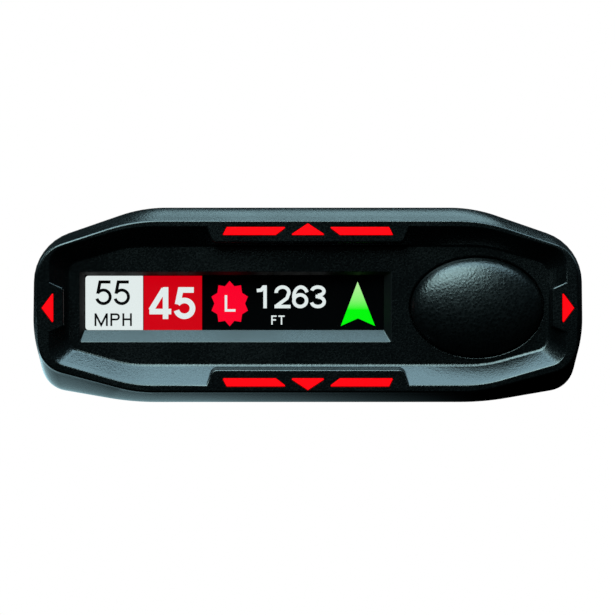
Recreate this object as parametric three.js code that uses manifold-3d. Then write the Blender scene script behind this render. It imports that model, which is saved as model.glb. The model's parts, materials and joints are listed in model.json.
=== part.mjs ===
// Windshield radar detector: a faceted two-part housing with a recessed display face,
// a domed mute button, four arrow light pipes, a key row, a mount dock and the electronics inside.
// Millimetres, +Z up. X runs across the face, -Y is the driver's side, +Y is the road side.
// Origin: centre of the footprint on the surface the detector lies on.
import * as THREE from "three";
import { mergeVertices } from "three/addons/utils/BufferGeometryUtils.js";
import Module from "manifold-3d";

const wasm = await Module();
wasm.setup();

// ---------------------------------------------------------------- driving dimensions
const HALF_WIDTH = 45.2; // housing, at its widest section
const HEIGHT = 32; // housing, at its tallest section
const MID_Z = HEIGHT / 2;
const WALL = 1.8; // housing wall
const GAP = 0.3; // between pieces that meet
const RUNNING = 0.25; // round a piece that moves

const RIM_Y = -62.9; // front plane of the bezel rim; the mute dome stands 2.1 proud of it
const FACE_Y = -60.2; // recessed face
const SILL_Y = -58.8; // back edge of the display opening's sloping sides
const WINDOW_Y = -58.2; // back of the face plate, where the display window lies
const JOIN_Y = -57; // bezel meets the two shells
const BOARD_Y = -52.6; // front of the display board
const TAIL_Y = 44; // shells meet the rear cover
const REAR_Y = 65; // rear plane

const SPLIT_Z = 16; // top shell meets bottom shell
const DECK_Z = 30.6; // floor of the key recess
const KEY_TOP_Z = 31.2;
const DOCK_FLOOR_Z = 25.6;
const MAIN_BOARD_Z = 5; // underside of the main board
const BOARD = 1.6; // main board thickness

const DOME = { x: 27.7, z: 15.75, a: 10.8, b: 8.1, rise: 4.8, travel: 0.8 };
const WINDOW = { left: -36.7, right: 12.5, low: 11.9, high: 20.95 };
const DOCK = { halfX: 14, front: -30, back: 6 };
const LATCH = { front: 8.2, back: 16.2, halfX: 8, travel: 1.6 };
const KEY = { y: -45, halfY: 3.6, travel: 0.6, width: 8.4, space: 1.3, rockerWidth: 18 };
const BOSSES = [-1, 1].flatMap((side) => [[side * 36.5, -44], [side * 33.5, 34]]);
const BOARD_SCREWS = [-1, 1].flatMap((side) => [[side * 27, -38], [side * 31, 8]]);

// ---------------------------------------------------------------- finishes
const finish = (color, roughness, metalness = 0) => ({ color, roughness, metalness });
const BLACK_PLASTIC = finish(0x0b0d0e, 0.42);
const BLACK_KEY = finish(0x101213, 0.5);
const SMOKED_LENS = finish(0x050505, 0.08);
const RED_LENS = finish(0xff0a05, 0.3);
const IR_WINDOW = finish(0x1a0305, 0.1);
const GREEN_BOARD = finish(0x0d3b22, 0.5);
const GLASS_PANEL = finish(0x020202, 0.15);
const WHITE_CHIP = finish(0xe6e2d0, 0.4);
const TINNED = finish(0xb9bcc0, 0.35, 1);
const DIE_CAST = finish(0x9da1a6, 0.5, 1);
const STEEL = finish(0x8d9196, 0.3, 1);
const BLACK_STEEL = finish(0x17181a, 0.45, 1);
const RUBBER = finish(0x151515, 0.85);
const CERAMIC = finish(0xcfc6b2, 0.7);
const CLEAR_LENS = finish(0xdde6ea, 0.05);
const AMBER_FILM = finish(0x8a5a18, 0.4);
const JACK_PLASTIC = finish(0x1c1c1e, 0.6);

const part = new THREE.Group();

function add(name, solid, look) {
  const mesh = new THREE.Mesh(geometryOf(solid), new THREE.MeshStandardMaterial(look));
  mesh.name = name;
  part.add(mesh);
  return mesh;
}

// ---------------------------------------------------------------- solids
// A closed geometry as a manifold-3d solid.
function solidOf(geometry) {
  const bare = new THREE.BufferGeometry();
  bare.setAttribute("position", geometry.getAttribute("position").clone());
  if (geometry.index) bare.setIndex(geometry.index.clone());
  const merged = mergeVertices(bare, 1e-4);
  return new wasm.Manifold(
    new wasm.Mesh({
      numProp: 3,
      vertProperties: new Float32Array(merged.attributes.position.array),
      triVerts: new Uint32Array(merged.index.array),
    }),
  );
}

function geometryOf(solid) {
  const mesh = solid.getMesh();
  const geometry = new THREE.BufferGeometry();
  geometry.setAttribute("position", new THREE.BufferAttribute(mesh.vertProperties, 3));
  geometry.setIndex(new THREE.BufferAttribute(mesh.triVerts, 1));
  return geometry;
}

const union = (...solids) => solids.reduce((sum, next) => sum.add(next));
const cut = (solid, ...tools) => tools.reduce((left, tool) => left.subtract(tool), solid);

// Box between two corners.
function box(x0, x1, y0, y1, z0, z1) {
  const geometry = new THREE.BoxGeometry(x1 - x0, y1 - y0, z1 - z0);
  geometry.translate((x0 + x1) / 2, (y0 + y1) / 2, (z0 + z1) / 2);
  return solidOf(geometry);
}

// Cylinder along Z.
function pillar(x, y, radius, z0, z1, sides = 12) {
  const geometry = new THREE.CylinderGeometry(radius, radius, z1 - z0, sides);
  geometry.rotateX(Math.PI / 2);
  geometry.translate(x, y, (z0 + z1) / 2);
  return solidOf(geometry);
}

// Cylinder along Y.
function rod(x, z, radius, y0, y1, sides = 12) {
  const geometry = new THREE.CylinderGeometry(radius, radius, y1 - y0, sides);
  geometry.translate(x, (y0 + y1) / 2, z);
  return solidOf(geometry);
}

// An outline drawn in the XZ plane, given depth from y0 to y1.
function prismY(points, y0, y1) {
  const geometry = new THREE.ExtrudeGeometry(new THREE.Shape(points), {
    depth: y1 - y0,
    bevelEnabled: false,
  });
  geometry.rotateX(Math.PI / 2);
  geometry.translate(0, y1, 0);
  return solidOf(geometry);
}

// An outline drawn in the XY plane, raised from z0 to z1.
function prismZ(points, z0, z1) {
  const geometry = new THREE.ExtrudeGeometry(new THREE.Shape(points), {
    depth: z1 - z0,
    bevelEnabled: false,
  });
  geometry.translate(0, 0, z0);
  return solidOf(geometry);
}

// Skin through outlines that have the same number of points, closed at both ends.
// stations: [{ y, points }], with y rising; points run counterclockwise seen from -Y.
function loft(stations) {
  const count = stations[0].points.length;
  const position = [];
  const index = [];
  for (const { y, points } of stations) {
    for (const p of points) position.push(p.x, y, p.y);
  }
  const ring = (s, i) => s * count + (i % count);
  for (let s = 0; s < stations.length - 1; s++) {
    for (let i = 0; i < count; i++) {
      index.push(ring(s, i), ring(s + 1, i), ring(s, i + 1));
      index.push(ring(s, i + 1), ring(s + 1, i), ring(s + 1, i + 1));
    }
  }
  const cap = (s, flip) => {
    const { y, points } = stations[s];
    const centre = position.length / 3;
    const middle = points.reduce((sum, p) => sum.clone().add(p)).divideScalar(count);
    position.push(middle.x, y, middle.y);
    for (let i = 0; i < count; i++) {
      const edge = [ring(s, i), ring(s, i + 1)];
      index.push(centre, ...(flip ? edge.reverse() : edge));
    }
  };
  cap(0, false);
  cap(stations.length - 1, true);
  const geometry = new THREE.BufferGeometry();
  geometry.setAttribute("position", new THREE.Float32BufferAttribute(position, 3));
  geometry.setIndex(index);
  return solidOf(geometry);
}

// ---------------------------------------------------------------- outlines
// Polygon with rounded corners. corners: [[x, z, radius]], counterclockwise.
// steps: pieces per rounded corner, one number for all or one for each.
function rounded(corners, steps = 4) {
  const points = [];
  corners.forEach(([x, z, radius = 0], i) => {
    const here = new THREE.Vector2(x, z);
    if (radius < 1e-3) {
      points.push(here);
      return;
    }
    const count = corners.length;
    const [px, pz] = corners[(i + count - 1) % count];
    const [nx, nz] = corners[(i + 1) % count];
    const back = new THREE.Vector2(px, pz).sub(here).normalize();
    const on = new THREE.Vector2(nx, nz).sub(here).normalize();
    const half = Math.acos(THREE.MathUtils.clamp(back.dot(on), -1, 1)) / 2;
    const reach = radius / Math.tan(half);
    const start = here.clone().addScaledVector(back, reach);
    const end = here.clone().addScaledVector(on, reach);
    const centre = here.clone().add(back.add(on).normalize().multiplyScalar(radius / Math.sin(half)));
    const from = start.clone().sub(centre);
    const turn = Math.PI - 2 * half;
    const pieces = Array.isArray(steps) ? steps[i] : steps;
    for (let k = 0; k <= pieces; k++) {
      const p = from.clone().rotateAround(new THREE.Vector2(), (turn * k) / pieces);
      points.push(k === pieces ? end : p.add(centre));
    }
  });
  return points;
}

// The right half's corners, from the bottom up, and their mirror image on the left.
function mirrored(right) {
  const left = right.map(([x, z, r]) => [-x, z, r]).reverse();
  return [...right, ...left];
}

const rectangle = (x0, x1, z0, z1, r = 0) => [[x0, z0, r], [x1, z0, r], [x1, z1, r], [x0, z1, r]];

// Corner sets share one order, so that lofts can run between them:
// bottom flat ends, lower corner, crown of the side, upper corner, top flat ends.
const BODY_CORNERS = [
  [28.9, 0, 45],
  [45, 2.8, 6.3],
  [HALF_WIDTH, 15.4, 60],
  [45, 26.3, 6.2],
  [27.2, HEIGHT, 23],
];
const RIM_CORNERS = [
  [28.2, 1.75, 23],
  [44.2, 5.95, 5.2],
  [44.5, 15.4, 60],
  [44.2, 25.05, 5.5],
  [28.6, 30.15, 28],
];
const RIM_INNER_CORNERS = [
  [28.7, 2.96, 23],
  [42.4, 6.95, 3],
  [42.45, 16, 60],
  [42.4, 25.05, 3],
  [28.7, 29.04, 23],
];
const FACE_CORNERS = [
  [29.3, 6.2, 20],
  [39.4, 9.05, 2.2],
  [39.42, 16, 60],
  [39.4, 22.95, 2.2],
  [29.3, 25.8, 20],
];

const outline = (corners, steps) => rounded(mirrored(corners), [...steps, ...steps.slice().reverse()]);
const FINE = [3, 5, 1, 5, 3];
const COARSE = [2, 3, 1, 3, 2];

// The corners moved inwards by d on every side.
function inset(corners, d) {
  const low = corners[0][1] + d;
  const high = corners[4][1] - d;
  return corners.map(([x, z, r], i) => {
    const reach = i === 0 || i === 4 ? 0.15 * d : d;
    const tuck = [0, d * 0.86, 0, -d * 0.73, 0][i];
    return [x - reach, THREE.MathUtils.clamp(z + tuck, low, high), Math.max(r - d, 0.6)];
  });
}

const between = (a, b, t) => a.map((corner, i) => corner.map((v, k) => v + (b[i][k] - v) * t));

// Housing stations behind the bezel: y, half width, top, bottom.
const HOUSING = [
  [JOIN_Y, HALF_WIDTH, HEIGHT, 0],
  [-20, HALF_WIDTH, 30.8, 0],
  [10, 44.4, 29.7, 0],
  [28, 43, 28.9, 0],
  [TAIL_Y, 41, 27.7, 0],
  [54, 38.9, 26, 0.6],
  [60, 37, 24.4, 1.5],
  [63.6, 35, 22.9, 2.8],
  [REAR_Y, 33.6, 21.8, 4],
];

function housingCorners(y) {
  const i = Math.max(1, HOUSING.findIndex(([at]) => at >= y - 1e-9));
  const [a, b] = [HOUSING[i - 1], HOUSING[i]];
  const t = (y - a[0]) / (b[0] - a[0]);
  const [, width, top, bottom] = a.map((v, k) => v + (b[k] - v) * t);
  const share = width / HALF_WIDTH;
  const rise = (top - bottom) / HEIGHT;
  return BODY_CORNERS.map(([x, z, r]) => [x * share, bottom + z * rise, r * Math.min(share, rise)]);
}

// The housing's form from y0 to y1, moved inwards by d.
function housing(y0, y1, d = 0) {
  const steps = d > 0 ? COARSE : FINE;
  const inner = HOUSING.map(([y]) => y).filter((y) => y > y0 + 0.1 && y < y1 - 0.1);
  const clamp = (y) => THREE.MathUtils.clamp(y, JOIN_Y, REAR_Y);
  return loft(
    [y0, ...inner, y1].map((y) => ({ y, points: outline(inset(housingCorners(clamp(y)), d), steps) })),
  );
}

// A tube wall that follows the housing, from d0 to d1 under its surface.
const housingRing = (y0, y1, d0, d1) => cut(housing(y0, y1, d0), housing(y0 - 1, y1 + 1, d1));

function ellipse(x, z, a, b, steps = 36) {
  const curve = new THREE.EllipseCurve(x, z, a, b, 0, 2 * Math.PI);
  return curve.getPoints(steps).slice(0, -1);
}

// ---------------------------------------------------------------- lamp marks on the rim
const LAMP = { inner: 3.6, innerFoot: 5.2, outer: 13.25, outerFoot: 13.95, low: 27.4, high: 28.92, tip: 29.45 };
const flipped = (corners) => corners.map(([x, z]) => [x, 2 * MID_Z - z]).reverse();
const BAR_RIGHT = [
  [LAMP.innerFoot, LAMP.low],
  [LAMP.outerFoot, LAMP.low],
  [LAMP.outer, LAMP.high],
  [LAMP.inner, LAMP.high],
];
const BAR_LEFT = BAR_RIGHT.map(([x, z]) => [-x, z]).reverse();
const ARROW_UP = [[-3, LAMP.low], [3, LAMP.low], [0, LAMP.tip]];
const ARROW_RIGHT = [[41.3, 13.3], [43.3, 15.8], [41.3, 18.3]];
const ARROW_LEFT = ARROW_RIGHT.map(([x, z]) => [-x, z]).reverse();

// An outline grown by d about its own centre line, for the clearance of a hole.
function grown(corners, d) {
  const points = corners.map(([x, z]) => new THREE.Vector2(x, z));
  return points.map((here, i) => {
    const back = points[(i + points.length - 1) % points.length].clone().sub(here).normalize();
    const on = points[(i + 1) % points.length].clone().sub(here).normalize();
    const half = Math.acos(back.dot(on)) / 2;
    const out = back.add(on).normalize().multiplyScalar(-Math.min(d / Math.sin(half), 2.2 * d));
    return [here.x + out.x, here.y + out.y];
  });
}

const plain = (corners) => rounded(corners.map(([x, z]) => [x, z]));

// ---------------------------------------------------------------- front bezel
const TAB_BOTTOM = [[-16.9, 2.6], [16.9, 2.6], [15.6, 5.6, 1], [-15.6, 5.6, 1]];
const TAB_TOP = flipped(TAB_BOTTOM).map(([x, z], i) => [x, z, i < 2 ? 1 : 0]);
const TAB_RIGHT = [[43.4, 11.2], [43.4, 20.4], [42.7, 20.1], [40, 18.9, 0.4], [40, 12.6, 0.4], [42.6, 11.5]];
const TAB_LEFT = TAB_RIGHT.map(([x, z, r]) => [-x, z, r]).reverse();

function windowOpening() {
  const at = (grow) => rounded(
    rectangle(WINDOW.left - 0.4 * grow, WINDOW.right + 0.6 * grow, WINDOW.low - 0.96 * grow, WINDOW.high + 0.3 * grow),
  );
  return loft([
    { y: FACE_Y - 0.7, points: at(3) },
    { y: SILL_Y, points: at(0) },
    { y: WINDOW_Y + 0.5, points: at(0) },
  ]);
}

function frontBezel() {
  const bulge = between(RIM_CORNERS, BODY_CORNERS, 0.6);
  const outer = loft([
    { y: RIM_Y, points: outline(inset(RIM_CORNERS, 0.4), FINE) },
    { y: RIM_Y + 0.4, points: outline(RIM_CORNERS, FINE) },
    { y: -60.1, points: outline(bulge, FINE) },
    { y: JOIN_Y, points: outline(BODY_CORNERS, FINE) },
  ]);
  const beyond = between(FACE_CORNERS, RIM_INNER_CORNERS, 1.25);
  const recess = loft([
    { y: RIM_Y - 0.25 * (FACE_Y - RIM_Y), points: outline(beyond, FINE) },
    { y: FACE_Y, points: outline(FACE_CORNERS, FINE) },
  ]);
  const tabs = [TAB_BOTTOM, TAB_TOP, TAB_RIGHT, TAB_LEFT].map((corners) =>
    prismY(rounded(corners, 3), RIM_Y, FACE_Y + 1),
  );
  const hollow = housing(WINDOW_Y, JOIN_Y + 1, WALL);
  const lip = housingRing(WINDOW_Y - 0.5, -53.6, WALL + GAP, WALL + GAP + 1.2);
  const lamps = [BAR_LEFT, BAR_RIGHT, ARROW_UP, ARROW_LEFT, ARROW_RIGHT, flipped(BAR_LEFT), flipped(BAR_RIGHT), flipped(ARROW_UP)];
  const holes = lamps.map((corners) => prismY(plain(grown(corners, 0.12)), RIM_Y - 1, WINDOW_Y + 1));
  const domeHole = prismY(ellipse(DOME.x, DOME.z, DOME.a + RUNNING, DOME.b + RUNNING), RIM_Y - 1, WINDOW_Y + 1);
  const walled = cut(outer, recess);
  const solid = cut(union(walled, ...tabs), hollow);
  return cut(union(solid, lip), windowOpening(), domeHole, ...holes);
}
add("front_bezel", frontBezel(), BLACK_PLASTIC);

// ---------------------------------------------------------------- light pipes and lamps
const PIPE_BACK = -54.2;
const LAMP_X = 40.6; // the two side lamps

function lightBar(heads, z0, z1) {
  const runner = box(-14.6, 14.6, WINDOW_Y + GAP, PIPE_BACK, z0, z1);
  return union(runner, ...heads.map((corners) => prismY(plain(corners), RIM_Y, WINDOW_Y + 1)));
}
add("top_light_pipe", lightBar([BAR_LEFT, BAR_RIGHT, ARROW_UP], 26.9, 28.6), RED_LENS);
add("bottom_light_pipe", lightBar([BAR_LEFT, BAR_RIGHT, ARROW_UP].map(flipped), 3.6, 5.1), RED_LENS);

function sideLightPipe(arrow) {
  const head = prismY(plain(arrow), RIM_Y, WINDOW_Y + 1);
  const foot = Math.sign(arrow[0][0]) * LAMP_X;
  const step = box(foot - 0.9, foot + 0.9, WINDOW_Y + GAP, PIPE_BACK, 13.6, 18);
  return union(head, step);
}
add("left_light_pipe", sideLightPipe(ARROW_LEFT), RED_LENS);
add("right_light_pipe", sideLightPipe(ARROW_RIGHT), RED_LENS);

const LAMP_PLACES = {
  top_lamp_left: [-9, 27.7],
  top_lamp_centre: [0, 27.7],
  top_lamp_right: [9, 27.7],
  bottom_lamp_left: [-9, 4.4],
  bottom_lamp_centre: [0, 4.4],
  bottom_lamp_right: [9, 4.4],
  left_lamp: [-LAMP_X, 15.8],
  right_lamp: [LAMP_X, 15.8],
};
for (const [name, [x, z]] of Object.entries(LAMP_PLACES)) {
  add(name, box(x - 0.8, x + 0.8, BOARD_Y - 1, BOARD_Y - 0.1, z - 0.6, z + 0.6), WHITE_CHIP);
}

// ---------------------------------------------------------------- display
const windowPlate = rectangle(WINDOW.left - 1.2, WINDOW.right + 1.2, WINDOW.low - 1.2, WINDOW.high + 1.2, 0.8);
add("display_window", prismY(rounded(windowPlate, 3), WINDOW_Y + 0.1, WINDOW_Y + 1), SMOKED_LENS);
add(
  "display_panel",
  box(WINDOW.left - 1.6, WINDOW.right + 1.6, WINDOW_Y + 1.2, WINDOW_Y + 2.6, WINDOW.low - 2, WINDOW.high + 1.4),
  GLASS_PANEL,
);
const carrier = box(WINDOW.left - 1.6, WINDOW.right + 1.6, WINDOW_Y + 2.8, BOARD_Y - GAP, WINDOW.low - 2.2, WINDOW.high + 1.6);
const carrierHole = box(WINDOW.left + 2, WINDOW.right - 2, WINDOW_Y + 2, BOARD_Y, WINDOW.low + 1.4, WINDOW.high - 1.6);
add("display_carrier", cut(carrier, carrierHole), JACK_PLASTIC);

const boardCorners = inset(BODY_CORNERS, 3.7);
add("display_board", prismY(outline(boardCorners, COARSE), BOARD_Y, BOARD_Y + 1.2), GREEN_BOARD);

// Flat cable from the display board's back down to the main board's front edge.
const FLEX = [[-51.1, 13], [-50.8, 13], [-50.8, 8.4], [-47.4, 7.3], [-47.4, 7], [-51.1, 8.1]];
const flexGeometry = new THREE.ExtrudeGeometry(
  new THREE.Shape(FLEX.map(([y, z]) => new THREE.Vector2(y, z))),
  { depth: 14, bevelEnabled: false },
);
flexGeometry.applyMatrix4(
  new THREE.Matrix4().makeBasis(
    new THREE.Vector3(0, 1, 0),
    new THREE.Vector3(0, 0, 1),
    new THREE.Vector3(1, 0, 0),
  ),
);
flexGeometry.translate(-22, 0, 0);
add("display_flex", solidOf(flexGeometry), AMBER_FILM);

// ---------------------------------------------------------------- mute button
function muteDome() {
  const rings = 7;
  const stations = [];
  for (let k = 0; k <= rings; k++) {
    const angle = (Math.PI / 2) * (1 - k / rings) * 0.985;
    stations.push({
      y: FACE_Y - DOME.rise * Math.sin(angle),
      points: ellipse(DOME.x, DOME.z, DOME.a * Math.cos(angle), DOME.b * Math.cos(angle)),
    });
  }
  stations.push({ y: WINDOW_Y + 0.4, points: ellipse(DOME.x, DOME.z, DOME.a, DOME.b) });
  const flange = prismY(ellipse(DOME.x, DOME.z, DOME.a + 0.7, DOME.b + 0.7), WINDOW_Y + GAP, WINDOW_Y + 1.2);
  const stem = rod(DOME.x, DOME.z, 2.2, WINDOW_Y + 1, BOARD_Y - 2.85);
  return union(loft(stations), flange, stem);
}
add("mute_dome", muteDome(), BLACK_PLASTIC);
const domeSwitch = union(
  box(DOME.x - 3, DOME.x + 3, BOARD_Y - 1.5, BOARD_Y - 0.1, DOME.z - 3, DOME.z + 3),
  rod(DOME.x, DOME.z, 1.6, BOARD_Y - 1.9, BOARD_Y - 1),
);
add("mute_switch", domeSwitch, TINNED);

// ---------------------------------------------------------------- keys on the top
const ROW_LEFT = -(KEY.rockerWidth + 3 * (KEY.width + KEY.space)) / 2;
const rockerX = ROW_LEFT + KEY.rockerWidth / 2;
const keyX = [0, 1, 2].map((i) => ROW_LEFT + KEY.rockerWidth + KEY.space + i * (KEY.width + KEY.space) + KEY.width / 2);
const PIVOT_Z = 28.4;

const keyOutline = (x, halfX, d = 0) =>
  rounded(rectangle(x - halfX - d, x + halfX + d, KEY.y - KEY.halfY - d, KEY.y + KEY.halfY + d, 1.2), 3);

function key(x) {
  const cap = prismZ(keyOutline(x, KEY.width / 2), 28.4, KEY_TOP_Z);
  const flange = prismZ(keyOutline(x, KEY.width / 2, 0.5), 28.1, 28.9);
  return union(cap, flange, pillar(x, KEY.y, 1.2, 27.95, 28.6));
}
["menu_key", "brightness_key", "power_key"].forEach((name, i) => add(name, key(keyX[i]), BLACK_KEY));

function volumeRocker() {
  const cap = prismZ(keyOutline(rockerX, KEY.rockerWidth / 2), 29, KEY_TOP_Z);
  const web = box(rockerX - 1.6, rockerX + 1.6, KEY.y - 3, KEY.y + 3, 27.4, 29.4);
  const posts = [-6, 6].map((x) => pillar(rockerX + x, KEY.y, 1, 27.9, 29.4));
  return cut(union(cap, web, ...posts), rod(rockerX, PIVOT_Z, 0.75, KEY.y - 5, KEY.y + 5));
}
add("volume_rocker", volumeRocker(), BLACK_KEY);
add("rocker_pin", rod(rockerX, PIVOT_Z, 0.65, KEY.y - 5.2, KEY.y + 5.2), STEEL);

const keyBoard = box(-29.5, 29.5, KEY.y - 6.4, KEY.y + 6.4, 24.6, 25.8);
add("key_board", keyBoard, GREEN_BOARD);
const switchX = [rockerX - 6, rockerX + 6, ...keyX];
["volume_down_switch", "volume_up_switch", "menu_switch", "brightness_switch", "power_switch"].forEach((name, i) => {
  const body = box(switchX[i] - 2.2, switchX[i] + 2.2, KEY.y - 2.2, KEY.y + 2.2, 25.9, 26.9);
  add(name, union(body, pillar(switchX[i], KEY.y, 0.9, 26.7, 27.2, 12)), TINNED);
});

// ---------------------------------------------------------------- mount dock latch
const latchPad = rounded(rectangle(-LATCH.halfX, LATCH.halfX, LATCH.front, LATCH.back, 1.6), 3);
const LATCH_TOP_Z = 29;
function mountLatch() {
  const pad = prismZ(latchPad, 26.4, LATCH_TOP_Z);
  const flange = prismZ(
    rounded(rectangle(-LATCH.halfX - 0.9, LATCH.halfX + 0.9, LATCH.front + 0.3, LATCH.back + 0.9, 1.6), 3),
    26,
    27.4,
  );
  const nose = prismY(rounded([[-3, 27.2], [3, 27.2], [3, 28.6], [-3, 28.6]]), DOCK.back - 1, LATCH.front + 1);
  const ramp = box(-4, 4, DOCK.back - 2, DOCK.back - 0.4, 28.2, 30);
  const seat = pillar(0, (LATCH.front + LATCH.back) / 2, 1.6, 24.8, 26.4);
  return union(pad, flange, cut(nose, ramp), seat);
}
add("mount_latch", mountLatch(), BLACK_KEY);

const springY = (LATCH.front + LATCH.back) / 2;
const SPRING = { radius: 2.5, wire: 0.35, turns: 4.5, low: 19.9, high: 25.5 };
class Helix extends THREE.Curve {
  getPoint(t, target = new THREE.Vector3()) {
    const angle = 2 * Math.PI * SPRING.turns * t;
    const x = SPRING.radius * Math.cos(angle);
    const y = springY + SPRING.radius * Math.sin(angle);
    return target.set(x, y, SPRING.low + (SPRING.high - SPRING.low) * t);
  }
}
const wireSection = new THREE.Shape(
  new THREE.EllipseCurve(0, 0, SPRING.wire, SPRING.wire).getPoints(5).slice(0, -1),
);
add(
  "latch_spring",
  solidOf(new THREE.ExtrudeGeometry(wireSection, { steps: 40, extrudePath: new Helix() })),
  STEEL,
);
add(
  "strike_plate",
  prismZ(rounded(rectangle(-11, 11, DOCK.front + 4, DOCK.back - 6, 2), 3), DOCK_FLOOR_Z + 0.1, DOCK_FLOOR_Z + 1.1),
  STEEL,
);

// ---------------------------------------------------------------- top shell
const SHELL_FRONT = JOIN_Y + GAP;
const above = box(-60, 60, -80, 80, SPLIT_Z + 0.1, 60);
const below = box(-60, 60, -80, 80, -10, SPLIT_Z - 0.1);
const tube = housingRing(SHELL_FRONT, TAIL_Y, 0, WALL);
const envelope = housing(SHELL_FRONT, TAIL_Y);

const SPEAKER = { y: 29.6, radius: 10.5 };
const grilleSlots = [-3, -2, -1, 0, 1, 2, 3].map((i) => {
  const y = SPEAKER.y + i * 2.6;
  const reach = Math.sqrt(SPEAKER.radius ** 2 - (i * 2.6) ** 2);
  return prismZ(rounded(rectangle(-reach, reach, y - 0.6, y + 0.6, 0.55), 3), 24, 40);
});

function topShell() {
  const dockBox = box(-DOCK.halfX - WALL, DOCK.halfX + WALL, DOCK.front - WALL, DOCK.back + WALL, DOCK_FLOOR_Z - WALL, 40);
  const deckPlate = box(-25.6, 25.6, KEY.y - 7.4, KEY.y + 7.4, DECK_Z - 1.4, 40);
  const ears = [-4.2, 4.2].map((y) =>
    box(rockerX - 2, rockerX + 2, KEY.y + y - 0.6, KEY.y + y + 0.6, PIVOT_Z - 1.4, 31),
  );
  const cups = BOSSES.map(([x, y]) => pillar(x, y, 3, SPLIT_Z + 1, 30, 14));
  const cradle = cut(box(-10.6, 10.6, 9.8, 14.6, 18, 31), box(-9.2, 9.2, 5, 20, 19.4, 40));
  const keyPosts = [-27.6, 27.6].map((x) => pillar(x, KEY.y, 1.6, 26.1, 31, 12));
  const added = union(dockBox, deckPlate, cradle, ...ears, ...cups, ...keyPosts).intersect(envelope);
  const dock = box(-DOCK.halfX, DOCK.halfX, DOCK.front, DOCK.back, DOCK_FLOOR_Z, 40);
  const deck = prismZ(rounded(rectangle(-24.6, 24.6, KEY.y - 5.2, KEY.y + 5.2, 2.4), 3), DECK_Z, 40);
  const keyHoles = [
    prismZ(keyOutline(rockerX, KEY.rockerWidth / 2, RUNNING + 0.1), 20, 40),
    ...keyX.map((x) => prismZ(keyOutline(x, KEY.width / 2, RUNNING), 20, 40)),
  ];
  const latchHole = prismZ(
    rounded(rectangle(-LATCH.halfX - RUNNING, LATCH.halfX + RUNNING, LATCH.front - RUNNING, LATCH.back + RUNNING, 1.8), 3),
    20,
    40,
  );
  const noseSlot = box(-3.4, 3.4, DOCK.back - 1, LATCH.front + 1, 25.2, 28.9);
  const pinHole = rod(rockerX, PIVOT_Z, 0.8, KEY.y - 5.4, KEY.y + 5.4, 12);
  const screwHoles = BOSSES.map(([x, y]) => pillar(x, y, 1.1, SPLIT_Z, 22.4));
  return cut(
    union(tube, added).intersect(above),
    dock,
    deck,
    ...keyHoles,
    latchHole,
    noseSlot,
    pinHole,
    ...screwHoles,
    ...grilleSlots,
  );
}
add("top_shell", topShell(), BLACK_PLASTIC);

// ---------------------------------------------------------------- sockets and bottom shell
const boardTop = MAIN_BOARD_Z + BOARD;
const POWER = { y: -26, halfY: 5.2, z: 11.2, halfZ: 4.4, openY: 3.9, openZ: 3.3, depth: 11 };
const USB = { y: -9, halfY: 4.7, z: 8.5, halfZ: 1.75, openY: 4.3, openZ: 1.35, depth: 6.5 };
const OUTER_X = 44.6;

const VENTS = [0, 1, 2, 3, 4, 5].map((i) => -22 + i * 3.2);

function bottomShell() {
  const posts = BOSSES.map(([x, y]) => pillar(x, y, 3, 0.5, SPLIT_Z - 0.4, 14));
  const boardPosts = BOARD_SCREWS.map(([x, y]) => pillar(x, y, 2.4, 0.5, MAIN_BOARD_Z - 0.1, 12));
  const bores = BOSSES.flatMap(([x, y]) => [pillar(x, y, 2.8, -1, 2.6, 16), pillar(x, y, 1.3, -1, SPLIT_Z, 12)]);
  const boardBores = BOARD_SCREWS.map(([x, y]) => pillar(x, y, 0.9, 2, MAIN_BOARD_Z + 1, 12));
  const label = prismZ(rounded(rectangle(-24, 24, -22, 8, 2), 3), -1, 0.4);
  const sockets = [[POWER, SPLIT_Z], [USB, USB.z + USB.halfZ + 0.2]].map(([s, top]) =>
    box(35, 60, s.y - s.halfY - 0.2, s.y + s.halfY + 0.2, s.z - s.halfZ - 0.2, top),
  );
  const vents = VENTS.map((y) => box(-60, -40, y, y + 1.4, 7.5, 13));
  return cut(
    union(tube.intersect(below), union(...posts).intersect(envelope), ...boardPosts),
    ...bores,
    ...boardBores,
    label,
    ...sockets,
    ...vents,
  );
}
add("bottom_shell", bottomShell(), BLACK_PLASTIC);

// A socket body with a mouth on the +X side.
function socket({ y, halfY, z, halfZ, openY, openZ, depth }) {
  const body = box(OUTER_X - depth - 2, OUTER_X, y - halfY, y + halfY, z - halfZ, z + halfZ);
  const mouth = box(OUTER_X - depth, OUTER_X + 1, y - openY, y + openY, z - openZ, z + openZ);
  return cut(body, mouth);
}
add("power_socket", socket(POWER), JACK_PLASTIC);
const usbMouthBack = OUTER_X - USB.depth;
const usbTongue = box(usbMouthBack - 0.5, OUTER_X - 1, USB.y - 3.2, USB.y + 3.2, USB.z - 0.35, USB.z + 0.35);
add("usb_socket", union(socket(USB), usbTongue), TINNED);
const fingers = [-2.4, -0.8, 0.8, 2.4].map((y) =>
  box(34.2, 41.5, POWER.y + y - 0.25, POWER.y + y + 0.25, 8.6, 9),
);
const comb = box(33.9, 34.5, POWER.y - 3, POWER.y + 3, 8.4, 9.2);
add("power_contacts", union(comb, ...fingers), finish(0xc8a24a, 0.3, 1));

// ---------------------------------------------------------------- rear cover and laser optics
const EYE = { x: 0, z: 13, halfX: 19, halfZ: 5.4 };
const eyeOutline = (d) => {
  const { x, z, halfX, halfZ } = EYE;
  const [a, b, c] = [halfX + d, halfZ + d, halfX - 6 + d * 0.6];
  return rounded([[x - c, z - b, 1], [x + c, z - b, 1], [x + a, z, 1], [x + c, z + b, 1], [x - c, z + b, 1], [x - a, z, 1]], 2);
};

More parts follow.
